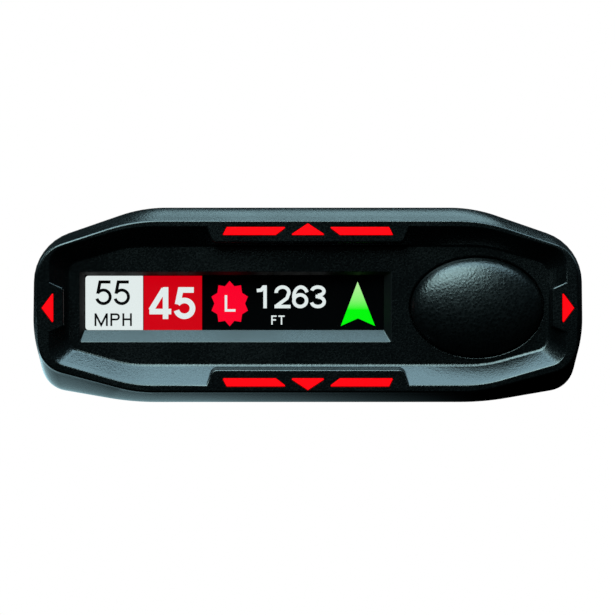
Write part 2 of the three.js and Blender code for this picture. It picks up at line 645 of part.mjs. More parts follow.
function rearCover() {
  const shell = cut(housing(TAIL_Y + GAP, REAR_Y), housing(TAIL_Y - 1, REAR_Y - 2.4, WALL));
  const lip = housingRing(TAIL_Y - 2.6, TAIL_Y + 2, WALL + GAP, WALL + GAP + 1.2);
  const root = housingRing(TAIL_Y + GAP, TAIL_Y + 2, WALL - 0.3, WALL + GAP + 0.4);
  const seat = prismY(eyeOutline(RUNNING), REAR_Y - 1.8, REAR_Y + 1);
  const through = prismY(eyeOutline(-1.2), REAR_Y - 4, REAR_Y + 1);
  return cut(union(shell, root, lip), seat, through);
}
add("rear_cover", rearCover(), BLACK_PLASTIC);
add("laser_window", prismY(eyeOutline(0), REAR_Y - 1.6, REAR_Y - 0.1), IR_WINDOW);

function laserLens() {
  const geometry = new THREE.LatheGeometry(
    [[0, 0], [5, 0], [5, 1], [4, 2.2], [2.2, 3.1], [0, 3.5]].map(([r, h]) => new THREE.Vector2(r, h)),
    20,
  );
  geometry.translate(10, 53, 13);
  return solidOf(geometry);
}
add("laser_lens", laserLens(), CLEAR_LENS);
add("laser_holder", cut(box(3.6, 16.4, 49, 52.8, 6.8, 19.2), box(6, 14, 48, 54, 9, 17)), JACK_PLASTIC);
add("laser_sensor_board", box(3.6, 16.4, 47.4, 48.8, 6.8, 19.2), GREEN_BOARD);

// ---------------------------------------------------------------- electronics
function mainBoard() {
  const blank = prismZ(rounded(rectangle(-39, 39, -46, 40, 3), 3), MAIN_BOARD_Z, MAIN_BOARD_Z + BOARD);
  const notches = BOSSES.map(([x, y]) => pillar(x, y, 3.4, 0, 20, 16));
  const screwHoles = BOARD_SCREWS.map(([x, y]) => pillar(x, y, 1.3, 0, 20, 12));
  return cut(blank, ...notches, ...screwHoles);
}
add("main_board", mainBoard(), GREEN_BOARD);

function horn(x, y, width, height, length, faces) {
  const mouth = rectangle(x - width / 2, x + width / 2, 7, 7 + height);
  const throat = rectangle(x - width / 4, x + width / 4, 7, 7 + height * 0.62);
  const shrink = (corners, d) => {
    const [[x0, z0], , [x1, z1]] = corners;
    return rectangle(x0 + d, x1 - d, z0 + d, z1 - d);
  };
  const order = (a, b) => (faces > 0 ? [a, b] : [b, a]);
  const [first, last] = order(throat, mouth);
  const outside = loft([
    { y, points: rounded(first) },
    { y: y + length, points: rounded(last) },
  ]);
  const [innerFirst, innerLast] = order(shrink(throat, 1.4), shrink(mouth, 1.2));
  const inside = loft([
    { y: faces > 0 ? y + 2 : y - 0.5, points: rounded(innerFirst) },
    { y: faces > 0 ? y + length + 0.5 : y + length - 2, points: rounded(innerLast) },
  ]);
  return cut(outside, inside);
}
add("road_horn", horn(-15, 6, 26, 13, 32, 1), DIE_CAST);
add("cabin_horn", horn(12, -44, 20, 10, 20, -1), DIE_CAST);
add("rf_shield", box(2, 26, -16, 12, boardTop + 0.1, boardTop + 4.1), TINNED);
add("gps_antenna", box(8, 26, 16, 34, boardTop + 0.1, boardTop + 4.6), CERAMIC);
add("processor", box(-14, 0, -24, -10, boardTop + 0.1, boardTop + 1.5), finish(0x141416, 0.5));
add(
  "speaker",
  union(pillar(0, SPEAKER.y, 11.2, 22.6, 24.8, 24), pillar(0, SPEAKER.y, 7, 20.4, 22.8, 16)),
  finish(0x1d1d20, 0.5),
);

// ---------------------------------------------------------------- screws
// A pan-head screw that points up, its head's underside at z.
function screw(x, y, z, headRadius, headHeight, radius, length) {
  const head = pillar(x, y, headRadius, z - headHeight, z, 14);
  const shank = pillar(x, y, radius, z - 0.2, z + length, 8);
  const slots = [[1.4, 0.3], [0.3, 1.4]].map(([dx, dy]) =>
    box(x - dx, x + dx, y - dy, y + dy, z - headHeight - 1, z - headHeight + 0.7),
  );
  return cut(union(head, shank), ...slots);
}
BOSSES.forEach(([x, y], i) =>
  add("housing_screw_" + (i + 1), screw(x, y, 2.4, 2.5, 1.6, 0.95, 19.2), BLACK_STEEL),
);
// A pan-head screw that points down, its head resting at z.
function boardScrew(x, y, z) {
  return union(pillar(x, y, 2, z, z + 1.2, 12), pillar(x, y, 0.75, z - 4, z + 0.2, 8));
}
BOARD_SCREWS.forEach(([x, y], i) => add("board_screw_" + (i + 1), boardScrew(x, y, boardTop + 0.1), STEEL));

export default part;
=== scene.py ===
"""A windshield radar detector: its housing, display face, keys and lamps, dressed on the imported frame."""

import json
import logging
import math
from dataclasses import dataclass, field
from enum import Enum

import bmesh
import bpy
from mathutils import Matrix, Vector

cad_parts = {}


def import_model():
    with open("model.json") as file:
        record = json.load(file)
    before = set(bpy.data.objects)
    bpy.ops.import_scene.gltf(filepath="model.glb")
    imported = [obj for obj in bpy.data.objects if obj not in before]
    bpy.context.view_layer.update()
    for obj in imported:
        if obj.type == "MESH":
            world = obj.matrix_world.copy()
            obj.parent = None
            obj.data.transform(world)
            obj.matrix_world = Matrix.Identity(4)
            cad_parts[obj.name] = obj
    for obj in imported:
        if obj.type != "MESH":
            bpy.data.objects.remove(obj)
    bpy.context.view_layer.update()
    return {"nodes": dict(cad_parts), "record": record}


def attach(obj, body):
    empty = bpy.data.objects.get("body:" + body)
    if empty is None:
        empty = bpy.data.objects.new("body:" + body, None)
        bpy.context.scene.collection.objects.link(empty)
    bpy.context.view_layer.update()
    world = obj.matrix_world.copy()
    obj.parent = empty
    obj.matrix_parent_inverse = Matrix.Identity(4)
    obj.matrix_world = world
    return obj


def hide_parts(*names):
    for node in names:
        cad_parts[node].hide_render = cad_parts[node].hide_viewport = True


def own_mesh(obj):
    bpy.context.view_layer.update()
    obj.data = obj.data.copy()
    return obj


log = logging.getLogger("radar_detector")

MM = 0.001
Corner = tuple[float, float, float]
Point = tuple[float, float]
Place = tuple[float, float, float]
Colour = tuple[float, float, float]


class Bodies(str, Enum):
    """The rigid bodies that pieces ride on."""

    HOUSING = "housing"
    MUTE = "mute_dome"
    MENU = "menu_key"
    BRIGHTNESS = "brightness_key"
    POWER = "power_key"
    VOLUME = "volume_rocker"
    LATCH = "mount_latch"


# ---------------------------------------------------------------- outlines and solids


@dataclass(frozen=True)
class Outline:
    """A closed outline with rounded corners, in millimetres, counterclockwise.

    Attributes:
        corners: Each corner's two coordinates and its radius.
        pieces: Straight pieces per rounded corner.
    """

    corners: tuple[Corner, ...]
    pieces: int = 8

    @staticmethod
    def rectangle(
        x0: float, x1: float, v0: float, v1: float, radius: float = 0.0, pieces: int = 6
    ) -> "Outline":
        """A rectangle between two corners, with one radius."""
        return Outline(((x0, v0, radius), (x1, v0, radius), (x1, v1, radius), (x0, v1, radius)), pieces)

    @staticmethod
    def mirrored(right: tuple[Corner, ...], pieces: int = 8) -> "Outline":
        """The outline whose right half has these corners, from the bottom up."""
        left = tuple((-x, v, r) for x, v, r in reversed(right))
        return Outline(right + left, pieces)

    def flipped(self, axis: float) -> "Outline":
        """The outline turned upside down about a height."""
        return Outline(tuple((x, 2 * axis - v, r) for x, v, r in reversed(self.corners)), self.pieces)

    def across(self) -> "Outline":
        """The outline mirrored left to right."""
        return Outline(tuple((-x, v, r) for x, v, r in reversed(self.corners)), self.pieces)

    def mixed(self, other: "Outline", share: float) -> "Outline":
        """The outline part of the way to another one with the same corners."""
        pairs = zip(self.corners, other.corners)
        return Outline(tuple(tuple(a + (b - a) * share for a, b in zip(p, q)) for p, q in pairs), self.pieces)

    def inset(self, depth: float) -> "Outline":
        """The outline moved inwards on every side.

        Args:
            depth: How far, in millimetres; a negative depth grows the outline.

        Returns:
            The new outline, its radii changed to keep the sides parallel.
        """
        points = [Vector(c[:2]) for c in self.corners]
        count = len(points)
        moved = []
        for i, (here, corner) in enumerate(zip(points, self.corners)):
            back = (here - points[i - 1]).normalized()
            ahead = (points[(i + 1) % count] - here).normalized()
            turn = back.x * ahead.y - back.y * ahead.x
            normal_a = Vector((-back.y, back.x))
            normal_b = Vector((-ahead.y, ahead.x))
            middle = normal_a + normal_b
            step = middle * (2 * depth / middle.length_squared)
            radius = corner[2] - depth if turn > 0 else corner[2] + depth
            keeps = corner[2] > 0 or depth < 0
            moved.append((here.x + step.x, here.y + step.y, max(radius, 0.05) if keeps else 0.0))
        return Outline(tuple(moved), self.pieces)

    def points(self) -> list[Point]:
        """The outline as points, with every rounded corner in pieces."""
        found: list[Point] = []
        count = len(self.corners)
        for i, (x, v, radius) in enumerate(self.corners):
            here = Vector((x, v))
            if radius < 1e-3:
                found += [(x, v)] * (self.pieces + 1 if self._rounds() else 1)
                continue
            back = (Vector(self.corners[i - 1][:2]) - here).normalized()
            ahead = (Vector(self.corners[(i + 1) % count][:2]) - here).normalized()
            half = math.acos(max(-1.0, min(1.0, back.dot(ahead)))) / 2
            sense = -1 if back.x * ahead.y - back.y * ahead.x > 0 else 1
            centre = here + (back + ahead).normalized() * (radius / math.sin(half))
            start = here + back * (radius / math.tan(half)) - centre
            sweep = math.pi - 2 * half
            for k in range(self.pieces + 1):
                angle = sense * sweep * k / self.pieces
                turned = (
                    start.x * math.cos(angle) - start.y * math.sin(angle),
                    start.x * math.sin(angle) + start.y * math.cos(angle),
                )
                found.append((centre.x + turned[0], centre.y + turned[1]))
        return found

    def _rounds(self) -> bool:
        """True if some corner is rounded."""
        return any(r >= 1e-3 for _, _, r in self.corners)


@dataclass(frozen=True)
class Ellipse:
    """An ellipse as an outline, in millimetres."""

    x: float
    v: float
    a: float
    b: float
    pieces: int = 96

    def inset(self, depth: float) -> "Ellipse":
        """The ellipse with both half axes shortened."""
        return Ellipse(self.x, self.v, self.a - depth, self.b - depth, self.pieces)

    def points(self) -> list[Point]:
        """The ellipse as points, counterclockwise."""
        angles = [2 * math.pi * k / self.pieces for k in range(self.pieces)]
        return [(self.x + self.a * math.cos(t), self.v + self.b * math.sin(t)) for t in angles]


Station = tuple[float, Outline | Ellipse]


class Operation(str, Enum):
    """How one solid acts on another."""

    JOIN = "UNION"
    CUT = "DIFFERENCE"
    COMMON = "INTERSECT"


class Solid:
    """A closed mesh in millimetres that can be joined, cut and shown."""

    def __init__(self, mesh: bpy.types.Mesh) -> None:
        """Takes over a mesh."""
        self.mesh = mesh

    @staticmethod
    def loft(rings: list[list[Place]]) -> "Solid":
        """A skin through rings of points, closed at both ends.

        Args:
            rings: Rings with the same number of points each.

        Returns:
            The closed solid.
        """
        work = bmesh.new()
        made = [[work.verts.new(p) for p in ring] for ring in rings]
        count = len(rings[0])
        for low, high in zip(made, made[1:]):
            for i in range(count):
                j = (i + 1) % count
                work.faces.new((low[i], low[j], high[j], high[i]))
        work.faces.new(made[0][::-1])
        work.faces.new(made[-1])
        bmesh.ops.remove_doubles(work, verts=work.verts, dist=1e-4)
        bmesh.ops.recalc_face_normals(work, faces=work.faces)
        mesh = bpy.data.meshes.new("solid")
        work.to_mesh(mesh)
        work.free()
        return Solid(mesh)

    @staticmethod
    def along_y(stations: list[Station]) -> "Solid":
        """Outlines drawn in XZ, one at each Y."""
        return Solid.loft([[(x, y, v) for x, v in shape.points()] for y, shape in stations])

    @staticmethod
    def along_z(stations: list[Station]) -> "Solid":
        """Outlines drawn in XY, one at each Z."""
        return Solid.loft([[(x, v, z) for x, v in shape.points()] for z, shape in stations])

    @staticmethod
    def along_x(stations: list[Station]) -> "Solid":
        """Outlines drawn in YZ, one at each X."""
        return Solid.loft([[(place, x, v) for x, v in shape.points()] for place, shape in stations])

    @staticmethod
    def turned(x: float, y: float, profile: list[Point], pieces: int = 32) -> "Solid":
        """A shape turned about an upright axis, from its heights and radii."""
        return Solid.along_z([(z, Ellipse(x, y, radius, radius, pieces)) for z, radius in profile])

    @staticmethod
    def post(x: float, y: float, radius: float, z0: float, z1: float, pieces: int = 32) -> "Solid":
        """A round post along Z."""
        return Solid.turned(x, y, [(z0, radius), (z1, radius)], pieces)

    @staticmethod
    def slab(
        shape: "Outline | Ellipse", low: float, high: float, soft: float = 0.0, under: float = 0.0
    ) -> "Solid":
        """An upright slab with rounded edges.

        Args:
            shape: The slab seen from above.
            low: Height of its underside.
            high: Height of its top.
            soft: Radius round the top.
            under: Radius round the underside.

        Returns:
            The slab.
        """
        turns = [k * math.pi / 10 for k in range(6)]
        stations: list[Station] = []
        if under:
            stations += [
                (low + under * (1 - math.cos(a)), shape.inset(under * (1 - math.sin(a)))) for a in turns
            ]
        else:
            stations.append((low, shape))
        if soft:
            lifted = [(high - soft * (1 - math.cos(a)), shape.inset(soft * (1 - math.sin(a)))) for a in turns]
            stations += lifted[::-1]
        else:
            stations.append((high, shape))
        return Solid.along_z(stations)

    @staticmethod
    def box(x: Point, y: Point, z: Point) -> "Solid":
        """A box between two corners."""
        return Solid.along_z([(z[0], Outline.rectangle(*x, *y)), (z[1], Outline.rectangle(*x, *y))])

    @staticmethod
    def gathered(solids: list["Solid"]) -> "Solid":
        """Solids that lie apart from each other, as one mesh."""
        work = bmesh.new()
        for solid in solids:
            work.from_mesh(solid.mesh)
        mesh = bpy.data.meshes.new("solids")
        work.to_mesh(mesh)
        work.free()
        return Solid(mesh)

    def combined(self, other: "Solid", operation: Operation) -> "Solid":
        """This solid after another one has acted on it.

        Args:
            other: The solid that joins or cuts.
            operation: What it does.

        Returns:
            The new solid.
        """
        target = bpy.data.objects.new("target", self.mesh)
        tool = bpy.data.objects.new("tool", other.mesh)
        for thing in (target, tool):
            bpy.context.scene.collection.objects.link(thing)
        step = target.modifiers.new("step", "BOOLEAN")
        step.operation = operation.value
        step.solver = "MANIFOLD"
        step.object = tool
        graph = bpy.context.evaluated_depsgraph_get()
        mesh = bpy.data.meshes.new_from_object(target.evaluated_get(graph))
        for thing in (target, tool):
            bpy.data.objects.remove(thing)
        return Solid(mesh)

    def join(self, *others: "Solid") -> "Solid":
        """This solid with others joined to it."""
        return self._each(others, Operation.JOIN)

    def cut(self, *others: "Solid") -> "Solid":
        """This solid with others cut from it."""
        return self._each(others, Operation.CUT)

    def common(self, *others: "Solid") -> "Solid":
        """What this solid shares with others."""
        return self._each(others, Operation.COMMON)

    def _each(self, others: tuple["Solid", ...], operation: Operation) -> "Solid":
        """The solid after each of the others has acted in turn."""
        result = self
        for other in others:
            result = result.combined(other, operation)
        return result

    def show(self, name: str, finish: "Finish", body: Bodies, sharp: float = 32.0) -> bpy.types.Object:
        """The solid as a smooth-shaded piece of the object.

        Args:
            name: The piece's name.
            finish: What it is made of.
            body: The body it rides on.
            sharp: Edges that turn by more than this many degrees stay sharp.

        Returns:
            The new object.
        """
        mesh = self.mesh.copy()
        mesh.name = name
        work = bmesh.new()
        work.from_mesh(mesh)
        bmesh.ops.remove_doubles(work, verts=work.verts, dist=2e-3)
        bmesh.ops.dissolve_degenerate(work, edges=work.edges, dist=1e-3)
        bmesh.ops.scale(work, vec=(MM, MM, MM), verts=work.verts)
        work.to_mesh(mesh)
        work.free()
        mesh.shade_smooth()
        mesh.set_sharp_from_angle(angle=math.radians(sharp))
        mesh.materials.clear()
        mesh.materials.append(finish.material())
        piece = bpy.data.objects.new(name, mesh)
        bpy.context.scene.collection.objects.link(piece)
        weighted = piece.modifiers.new("even_shading", "WEIGHTED_NORMAL")
        weighted.keep_sharp = True
        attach(piece, body.value)
        return piece


# ---------------------------------------------------------------- finishes


class Nodes:
    """A material's node tree, with short calls to add and link nodes."""

    def __init__(self, name: str) -> None:
        """Starts a material with an empty tree and an output."""
        self.material = bpy.data.materials.new(name)
        self.material.use_nodes = True
        self.tree = self.material.node_tree
        self.tree.nodes.clear()
        self.output = self.add("ShaderNodeOutputMaterial")
        self.coordinates = self.add("ShaderNodeTexCoord").outputs["Object"]

    def add(self, kind: str, **settings: object) -> bpy.types.Node:
        """A new node.

        Args:
            kind: The node's type.
            settings: Attributes of the node, or values of its inputs, with _ for a space.

        Returns:
            The node.
        """
        node = self.tree.nodes.new(kind)
        for key, value in settings.items():
            label = key.replace("_", " ")
            if hasattr(node, key):
                setattr(node, key, value)
            elif isinstance(value, bpy.types.NodeSocket):
                self.tree.links.new(value, node.inputs[label])
            else:
                node.inputs[label].default_value = value
        return node

    def link(self, source: bpy.types.NodeSocket, node: bpy.types.Node, name: str) -> None:
        """Joins an output to a named input."""
        self.tree.links.new(source, node.inputs[name])

    def noise(self, size_mm: float, detail: float = 2.0, roughness: float = 0.5) -> bpy.types.NodeSocket:
        """Noise whose features are about this large."""
        node = self.add(
            "ShaderNodeTexNoise",
            Vector=self.coordinates,
            Scale=1 / (size_mm * MM),
            Detail=detail,
            Roughness=roughness,
        )
        return node.outputs["Fac"]

    def cells(self, size_mm: float) -> bpy.types.NodeSocket:
        """Distance from the middle of rounded cells of about this size."""
        node = self.add(
            "ShaderNodeTexVoronoi", feature="SMOOTH_F1", Vector=self.coordinates, Scale=1 / (size_mm * MM)
        )
        node.inputs["Smoothness"].default_value = 0.6
        return node.outputs["Distance"]

    def spread(
        self, source: bpy.types.NodeSocket, low: float, high: float, start: float = 0.3, end: float = 0.7
    ) -> bpy.types.NodeSocket:
        """A value from start to end, spread over low to high."""
        node = self.add("ShaderNodeMapRange")
        self.tree.links.new(source, node.inputs["Value"])
        for key, value in (("From Min", start), ("From Max", end), ("To Min", low), ("To Max", high)):
            node.inputs[key].default_value = value
        return node.outputs["Result"]

    def ramp(self, source: bpy.types.NodeSocket, stops: list[tuple[float, Colour]]) -> bpy.types.NodeSocket:
        """Colours along a value."""
        node = self.add("ShaderNodeValToRGB")
        self.tree.links.new(source, node.inputs["Fac"])
        ramp = node.color_ramp
        while len(ramp.elements) < len(stops):
            ramp.elements.new(0.5)
        for element, (place, colour) in zip(ramp.elements, stops):
            element.position = place
            element.color = (*colour, 1.0)
        return node.outputs["Color"]

    def math(
        self, operation: str, a: bpy.types.NodeSocket, b: bpy.types.NodeSocket | float
    ) -> bpy.types.NodeSocket:
        """Arithmetic on two values."""
        node = self.add("ShaderNodeMath", operation=operation)
        self.tree.links.new(a, node.inputs[0])
        if isinstance(b, bpy.types.NodeSocket):
            self.tree.links.new(b, node.inputs[1])
        else:
            node.inputs[1].default_value = b
        return node.outputs[0]

    def bump(
        self, height: bpy.types.NodeSocket, depth_mm: float, strength: float = 1.0
    ) -> bpy.types.NodeSocket:
        """A bumped normal from a height between 0 and 1."""
        node = self.add("ShaderNodeBump", Height=height, Distance=depth_mm * MM, Strength=strength)
        return node.outputs["Normal"]

    def finish_with(self, shader: bpy.types.Node, output: int = 0) -> bpy.types.Material:
        """Links the shader to the output and gives back the material."""
        self.tree.links.new(shader.outputs[output], self.output.inputs["Surface"])
        return self.material


@dataclass(frozen=True)
class Finish:
    """What a piece's surface is.

    Attributes:
        name: The material's name.
        colour: Its main colour.
        other: The colour that it wanders to.
        roughness: Its middle roughness.
    """

    name: str
    colour: Colour = (0.5, 0.5, 0.5)
    other: Colour = (0.4, 0.4, 0.4)
    roughness: float = 0.4

    def material(self) -> bpy.types.Material:
        """The material, made once."""
        label = self.name + "_finish"
        return bpy.data.materials.get(label) or self.make(Nodes(label))

    def make(self, nodes: Nodes) -> bpy.types.Material:
        """Builds the node tree."""
        raise NotImplementedError


@dataclass(frozen=True)
class GrainedPlastic(Finish):
    """Moulded plastic with a spark-eroded or leather-like grain.

    Attributes:
        grain_mm: Size of one grain.
        depth_mm: Height of the grain.
        wander: How far the roughness wanders.
        ior: Index of refraction of the surface.
    """

    grain_mm: float = 0.3
    depth_mm: float = 0.012
    wander: float = 0.05
    ior: float = 1.5

    def make(self, nodes: Nodes) -> bpy.types.Material:
        """Pebbled cells under fine noise, with slow patches in gloss and tone."""
        cells = nodes.spread(nodes.cells(self.grain_mm * 1.25), 1.0, 0.0, 0.0, 0.75)
        fine = nodes.noise(self.grain_mm * 0.9, 3.0, 0.6)
        height = nodes.math("ADD", nodes.math("MULTIPLY", cells, 0.55), nodes.math("MULTIPLY", fine, 0.75))
        patches = nodes.noise(14.0, 3.0)
        shader = nodes.add("ShaderNodeBsdfPrincipled")
        shader.inputs["IOR"].default_value = self.ior
        nodes.link(nodes.ramp(patches, [(0.35, self.colour), (0.68, self.other)]), shader, "Base Color")
        gloss = nodes.spread(patches, self.roughness - self.wander, self.roughness + self.wander)
        valleys = nodes.spread(cells, 0.12, 0.0, 0.0, 1.0)
        nodes.link(nodes.math("ADD", gloss, valleys), shader, "Roughness")
        nodes.link(nodes.bump(height, self.depth_mm), shader, "Normal")
        return nodes.finish_with(shader)


@dataclass(frozen=True)
class PolishedPlastic(Finish):
    """Gloss plastic or painted metal with faint handling marks."""

    metallic: float = 0.0

    def make(self, nodes: Nodes) -> bpy.types.Material:
        """Slow smears in gloss, and a trace of orange peel."""
        smears = nodes.noise(6.0, 4.0, 0.6)
        shader = nodes.add("ShaderNodeBsdfPrincipled")
        shader.inputs["Metallic"].default_value = self.metallic
        nodes.link(nodes.ramp(smears, [(0.3, self.colour), (0.7, self.other)]), shader, "Base Color")
        nodes.link(nodes.spread(smears, self.roughness * 0.7, self.roughness * 1.4), shader, "Roughness")
        nodes.link(nodes.bump(nodes.noise(1.2, 2.0), 0.004, 0.6), shader, "Normal")
        return nodes.finish_with(shader)


@dataclass(frozen=True)
class BareMetal(Finish):
    """Bare or plated metal, brushed along one axis or cast.

    Attributes:
        stretch: How the brushing is drawn out along X, Y and Z.
        depth_mm: Height of the marks.
    """

    stretch: Place = (1.0, 1.0, 1.0)
    depth_mm: float = 0.004

    def make(self, nodes: Nodes) -> bpy.types.Material:
        """Marks drawn out along the brushing, and slow tarnish."""
        mapping = nodes.add("ShaderNodeMapping", Vector=nodes.coordinates)
        mapping.inputs["Scale"].default_value = self.stretch
        marks = nodes.add("ShaderNodeTexNoise", Scale=3000.0, Detail=3.0)
        nodes.link(mapping.outputs["Vector"], marks, "Vector")
        tarnish = nodes.noise(5.0, 3.0)
        shader = nodes.add("ShaderNodeBsdfPrincipled")
        shader.inputs["Metallic"].default_value = 1.0
        nodes.link(nodes.ramp(tarnish, [(0.3, self.colour), (0.7, self.other)]), shader, "Base Color")
        rough = nodes.spread(marks.outputs["Fac"], self.roughness * 0.75, self.roughness * 1.3)
        nodes.link(rough, shader, "Roughness")
        nodes.link(nodes.bump(marks.outputs["Fac"], self.depth_mm, 0.7), shader, "Normal")
        return nodes.finish_with(shader)


@dataclass(frozen=True)
class LitLens(Finish):
    """A red light pipe that glows at its front face.

    Attributes:
        strength: Brightness of the front face.
        front_mm: Y of the front face.
    """

    strength: float = 1.0
    front_mm: float = -62.9

    def make(self, nodes: Nodes) -> bpy.types.Material:
        """Light that falls off behind the face, with the lamp's soft patch in it."""
        split = nodes.add("ShaderNodeSeparateXYZ")
        nodes.tree.links.new(nodes.coordinates, split.inputs[0])
        start = (self.front_mm + 0.3) * MM
        end = (self.front_mm + 2.5) * MM
        depth = nodes.spread(split.outputs["Y"], 1.0, 0.04, start, end)
        patch = nodes.spread(nodes.noise(3.0, 1.0), 0.97, 1.04)
        shader = nodes.add("ShaderNodeBsdfPrincipled")
        shader.inputs["Roughness"].default_value = self.roughness
        shader.inputs["Base Color"].default_value = (0.25, 0.0, 0.002, 1.0)
        shader.inputs["Specular IOR Level"].default_value = 0.2
        nodes.link(nodes.ramp(patch, [(0.0, self.other), (1.0, self.colour)]), shader, "Emission Color")
        glow = nodes.math("MULTIPLY", nodes.math("MULTIPLY", depth, patch), self.strength)
        nodes.link(glow, shader, "Emission Strength")
        return nodes.finish_with(shader)


@dataclass(frozen=True)
class ScreenInk(Finish):
    """Lit dots of the display, in one colour or a fade up its height.

    Attributes:
        strength: Brightness of the dots.
        low_mm: Height where the fade starts.
        high_mm: Height where the fade ends.
    """

    strength: float = 1.0
    low_mm: float = 0.0
    high_mm: float = 1.0

    def make(self, nodes: Nodes) -> bpy.types.Material:
        """A fine grid of dots over the colour."""
        split = nodes.add("ShaderNodeSeparateXYZ")
        nodes.tree.links.new(nodes.coordinates, split.inputs[0])
        rise = nodes.spread(split.outputs["Z"], 0.0, 1.0, self.low_mm * MM, self.high_mm * MM)
        lines = []
        for axis in ("X", "Z"):
            phase = nodes.math("MULTIPLY", split.outputs[axis], 2 * math.pi / (0.12 * MM))
            wave = nodes.math("SINE", phase, 0.0)
            lines.append(wave)
        grid = nodes.spread(nodes.math("MULTIPLY", *lines), 0.97, 1.03, -1.0, 1.0)
        shader = nodes.add("ShaderNodeBsdfPrincipled")
        shader.inputs["Roughness"].default_value = self.roughness
        shader.inputs["Base Color"].default_value = (0.0, 0.0, 0.0, 1.0)
        shader.inputs["Specular IOR Level"].default_value = 0.1
        nodes.link(nodes.ramp(rise, self._stops()), shader, "Emission Color")
        nodes.link(nodes.math("MULTIPLY", grid, self.strength), shader, "Emission Strength")
        return nodes.finish_with(shader)

    def _stops(self) -> list[tuple[float, Colour]]:
        """The colour at the foot, half way and at the top."""
        middle = tuple((a + b) / 2 for a, b in zip(self.colour, self.other))
        return [(0.0, self.colour), (0.35, self.colour), (0.6, middle), (1.0, self.other)]


@dataclass(frozen=True)
class SmokedSheet(Finish):
    """A thin tinted window that light passes straight through.

    Attributes:
        density: How much of the light it stops.
    """

    density: float = 0.1

    def make(self, nodes: Nodes) -> bpy.types.Material:
        """A dark gloss sheet, mostly see-through, with faint smears."""
        smears = nodes.noise(9.0, 4.0, 0.6)
        shader = nodes.add("ShaderNodeBsdfPrincipled")
        shader.inputs["Alpha"].default_value = self.density
        nodes.link(nodes.ramp(smears, [(0.3, self.colour), (0.7, self.other)]), shader, "Base Color")
        nodes.link(nodes.spread(smears, self.roughness * 0.5, self.roughness * 1.5), shader, "Roughness")
        return nodes.finish_with(shader)


@dataclass(frozen=True)
class ClearGlass(Finish):
    """A polished clear or smoked window.

    Attributes:
        ior: Refractive index.
    """

    ior: float = 1.45

    def make(self, nodes: Nodes) -> bpy.types.Material:
        """Clear plastic with faint smears on its gloss."""
        smears = nodes.noise(9.0, 4.0, 0.6)
        shader = nodes.add("ShaderNodeBsdfPrincipled")
        shader.inputs["Transmission Weight"].default_value = 1.0
        shader.inputs["IOR"].default_value = self.ior
        nodes.link(nodes.ramp(smears, [(0.3, self.colour), (0.7, self.other)]), shader, "Base Color")
        nodes.link(nodes.spread(smears, self.roughness * 0.5, self.roughness * 1.5), shader, "Roughness")
        return nodes.finish_with(shader)


@dataclass(frozen=True)
class BoardMask(Finish):
    """Solder mask over copper tracks on a circuit board."""

    def make(self, nodes: Nodes) -> bpy.types.Material:
        """Tracks as the edges of square cells, with a woven ground under the mask."""
        tracks = nodes.add(
            "ShaderNodeTexVoronoi", feature="DISTANCE_TO_EDGE", distance="EUCLIDEAN", Vector=nodes.coordinates
        )
        tracks.inputs["Scale"].default_value = 420.0
        tracks.inputs["Randomness"].default_value = 0.55
        copper = nodes.spread(tracks.outputs["Distance"], 1.0, 0.0, 0.05, 0.09)
        shader = nodes.add("ShaderNodeBsdfPrincipled")
        nodes.link(nodes.ramp(copper, [(0.2, self.colour), (0.8, self.other)]), shader, "Base Color")
        gloss = nodes.spread(nodes.noise(2.0, 3.0), self.roughness * 0.8, self.roughness * 1.2)
        nodes.link(gloss, shader, "Roughness")
        nodes.link(nodes.bump(copper, 0.03, 0.6), shader, "Normal")
        return nodes.finish_with(shader)


HOUSING_BLACK = GrainedPlastic(
    "housing_black", (0.0030, 0.0034, 0.0036), (0.0022, 0.0026, 0.0028), 0.26, 0.30, 0.007
)
FACE_BLACK = GrainedPlastic(
    "face_black", (0.0007, 0.0010, 0.0011), (0.0004, 0.0007, 0.0008), 0.18, 0.27, 0.020
)
# Painted shade: the bezel's walls round the display that do not face up get this colour, darker than the
# sill's, and a low IOR for weak reflection.
SHADED_WALL_BLACK = GrainedPlastic(
    "shaded_wall_black", (0.0012, 0.0014, 0.0015), (0.0008, 0.0010, 0.0011), 0.55, 0.22, 0.002, ior=1.25
)
# Painted light: the upward-facing sill under the display gets this lighter, teal-tinted colour; its finer
# grain is its own.
LIT_SILL_BLACK = GrainedPlastic(
    "lit_sill_black", (0.0020, 0.0026, 0.0028), (0.0012, 0.0018, 0.0020), 0.24, 0.22, 0.003, ior=1.42
)
DOME_BLACK = GrainedPlastic(
    "dome_black", (0.0007, 0.0010, 0.0011), (0.0004, 0.0007, 0.0008), 0.24, 0.37, 0.042
)
KEY_BLACK = GrainedPlastic("key_black", (0.013, 0.0135, 0.014), (0.010, 0.0105, 0.011), 0.48, 0.18, 0.004)
INSERT_BLACK = GrainedPlastic("insert_black", (0.02, 0.02, 0.021), (0.015, 0.015, 0.016), 0.5, 0.4, 0.006)
SPEAKER_BLACK = GrainedPlastic("speaker_black", (0.03, 0.03, 0.031), (0.02, 0.02, 0.021), 0.65, 0.7, 0.03)
CHIP_BLACK = GrainedPlastic("chip_black", (0.02, 0.02, 0.022), (0.015, 0.015, 0.016), 0.6, 0.2, 0.006)
CERAMIC = GrainedPlastic("antenna_ceramic", (0.62, 0.55, 0.42), (0.55, 0.49, 0.38), 0.7, 0.25, 0.01)
LABEL_FOIL = GrainedPlastic("label_foil", (0.32, 0.33, 0.34), (0.28, 0.29, 0.30), 0.38, 0.5, 0.003)
RED_LIGHT = LitLens("red_light", (1.0, 0.0, 0.002), (0.96, 0.0, 0.002), 0.35, 1.06)
INFRARED = PolishedPlastic("infrared_window", (0.028, 0.002, 0.004), (0.02, 0.0015, 0.003), 0.06)
PANEL_GLASS = PolishedPlastic("panel_glass", (0.0015, 0.0015, 0.0018), (0.001, 0.001, 0.0012), 0.12)
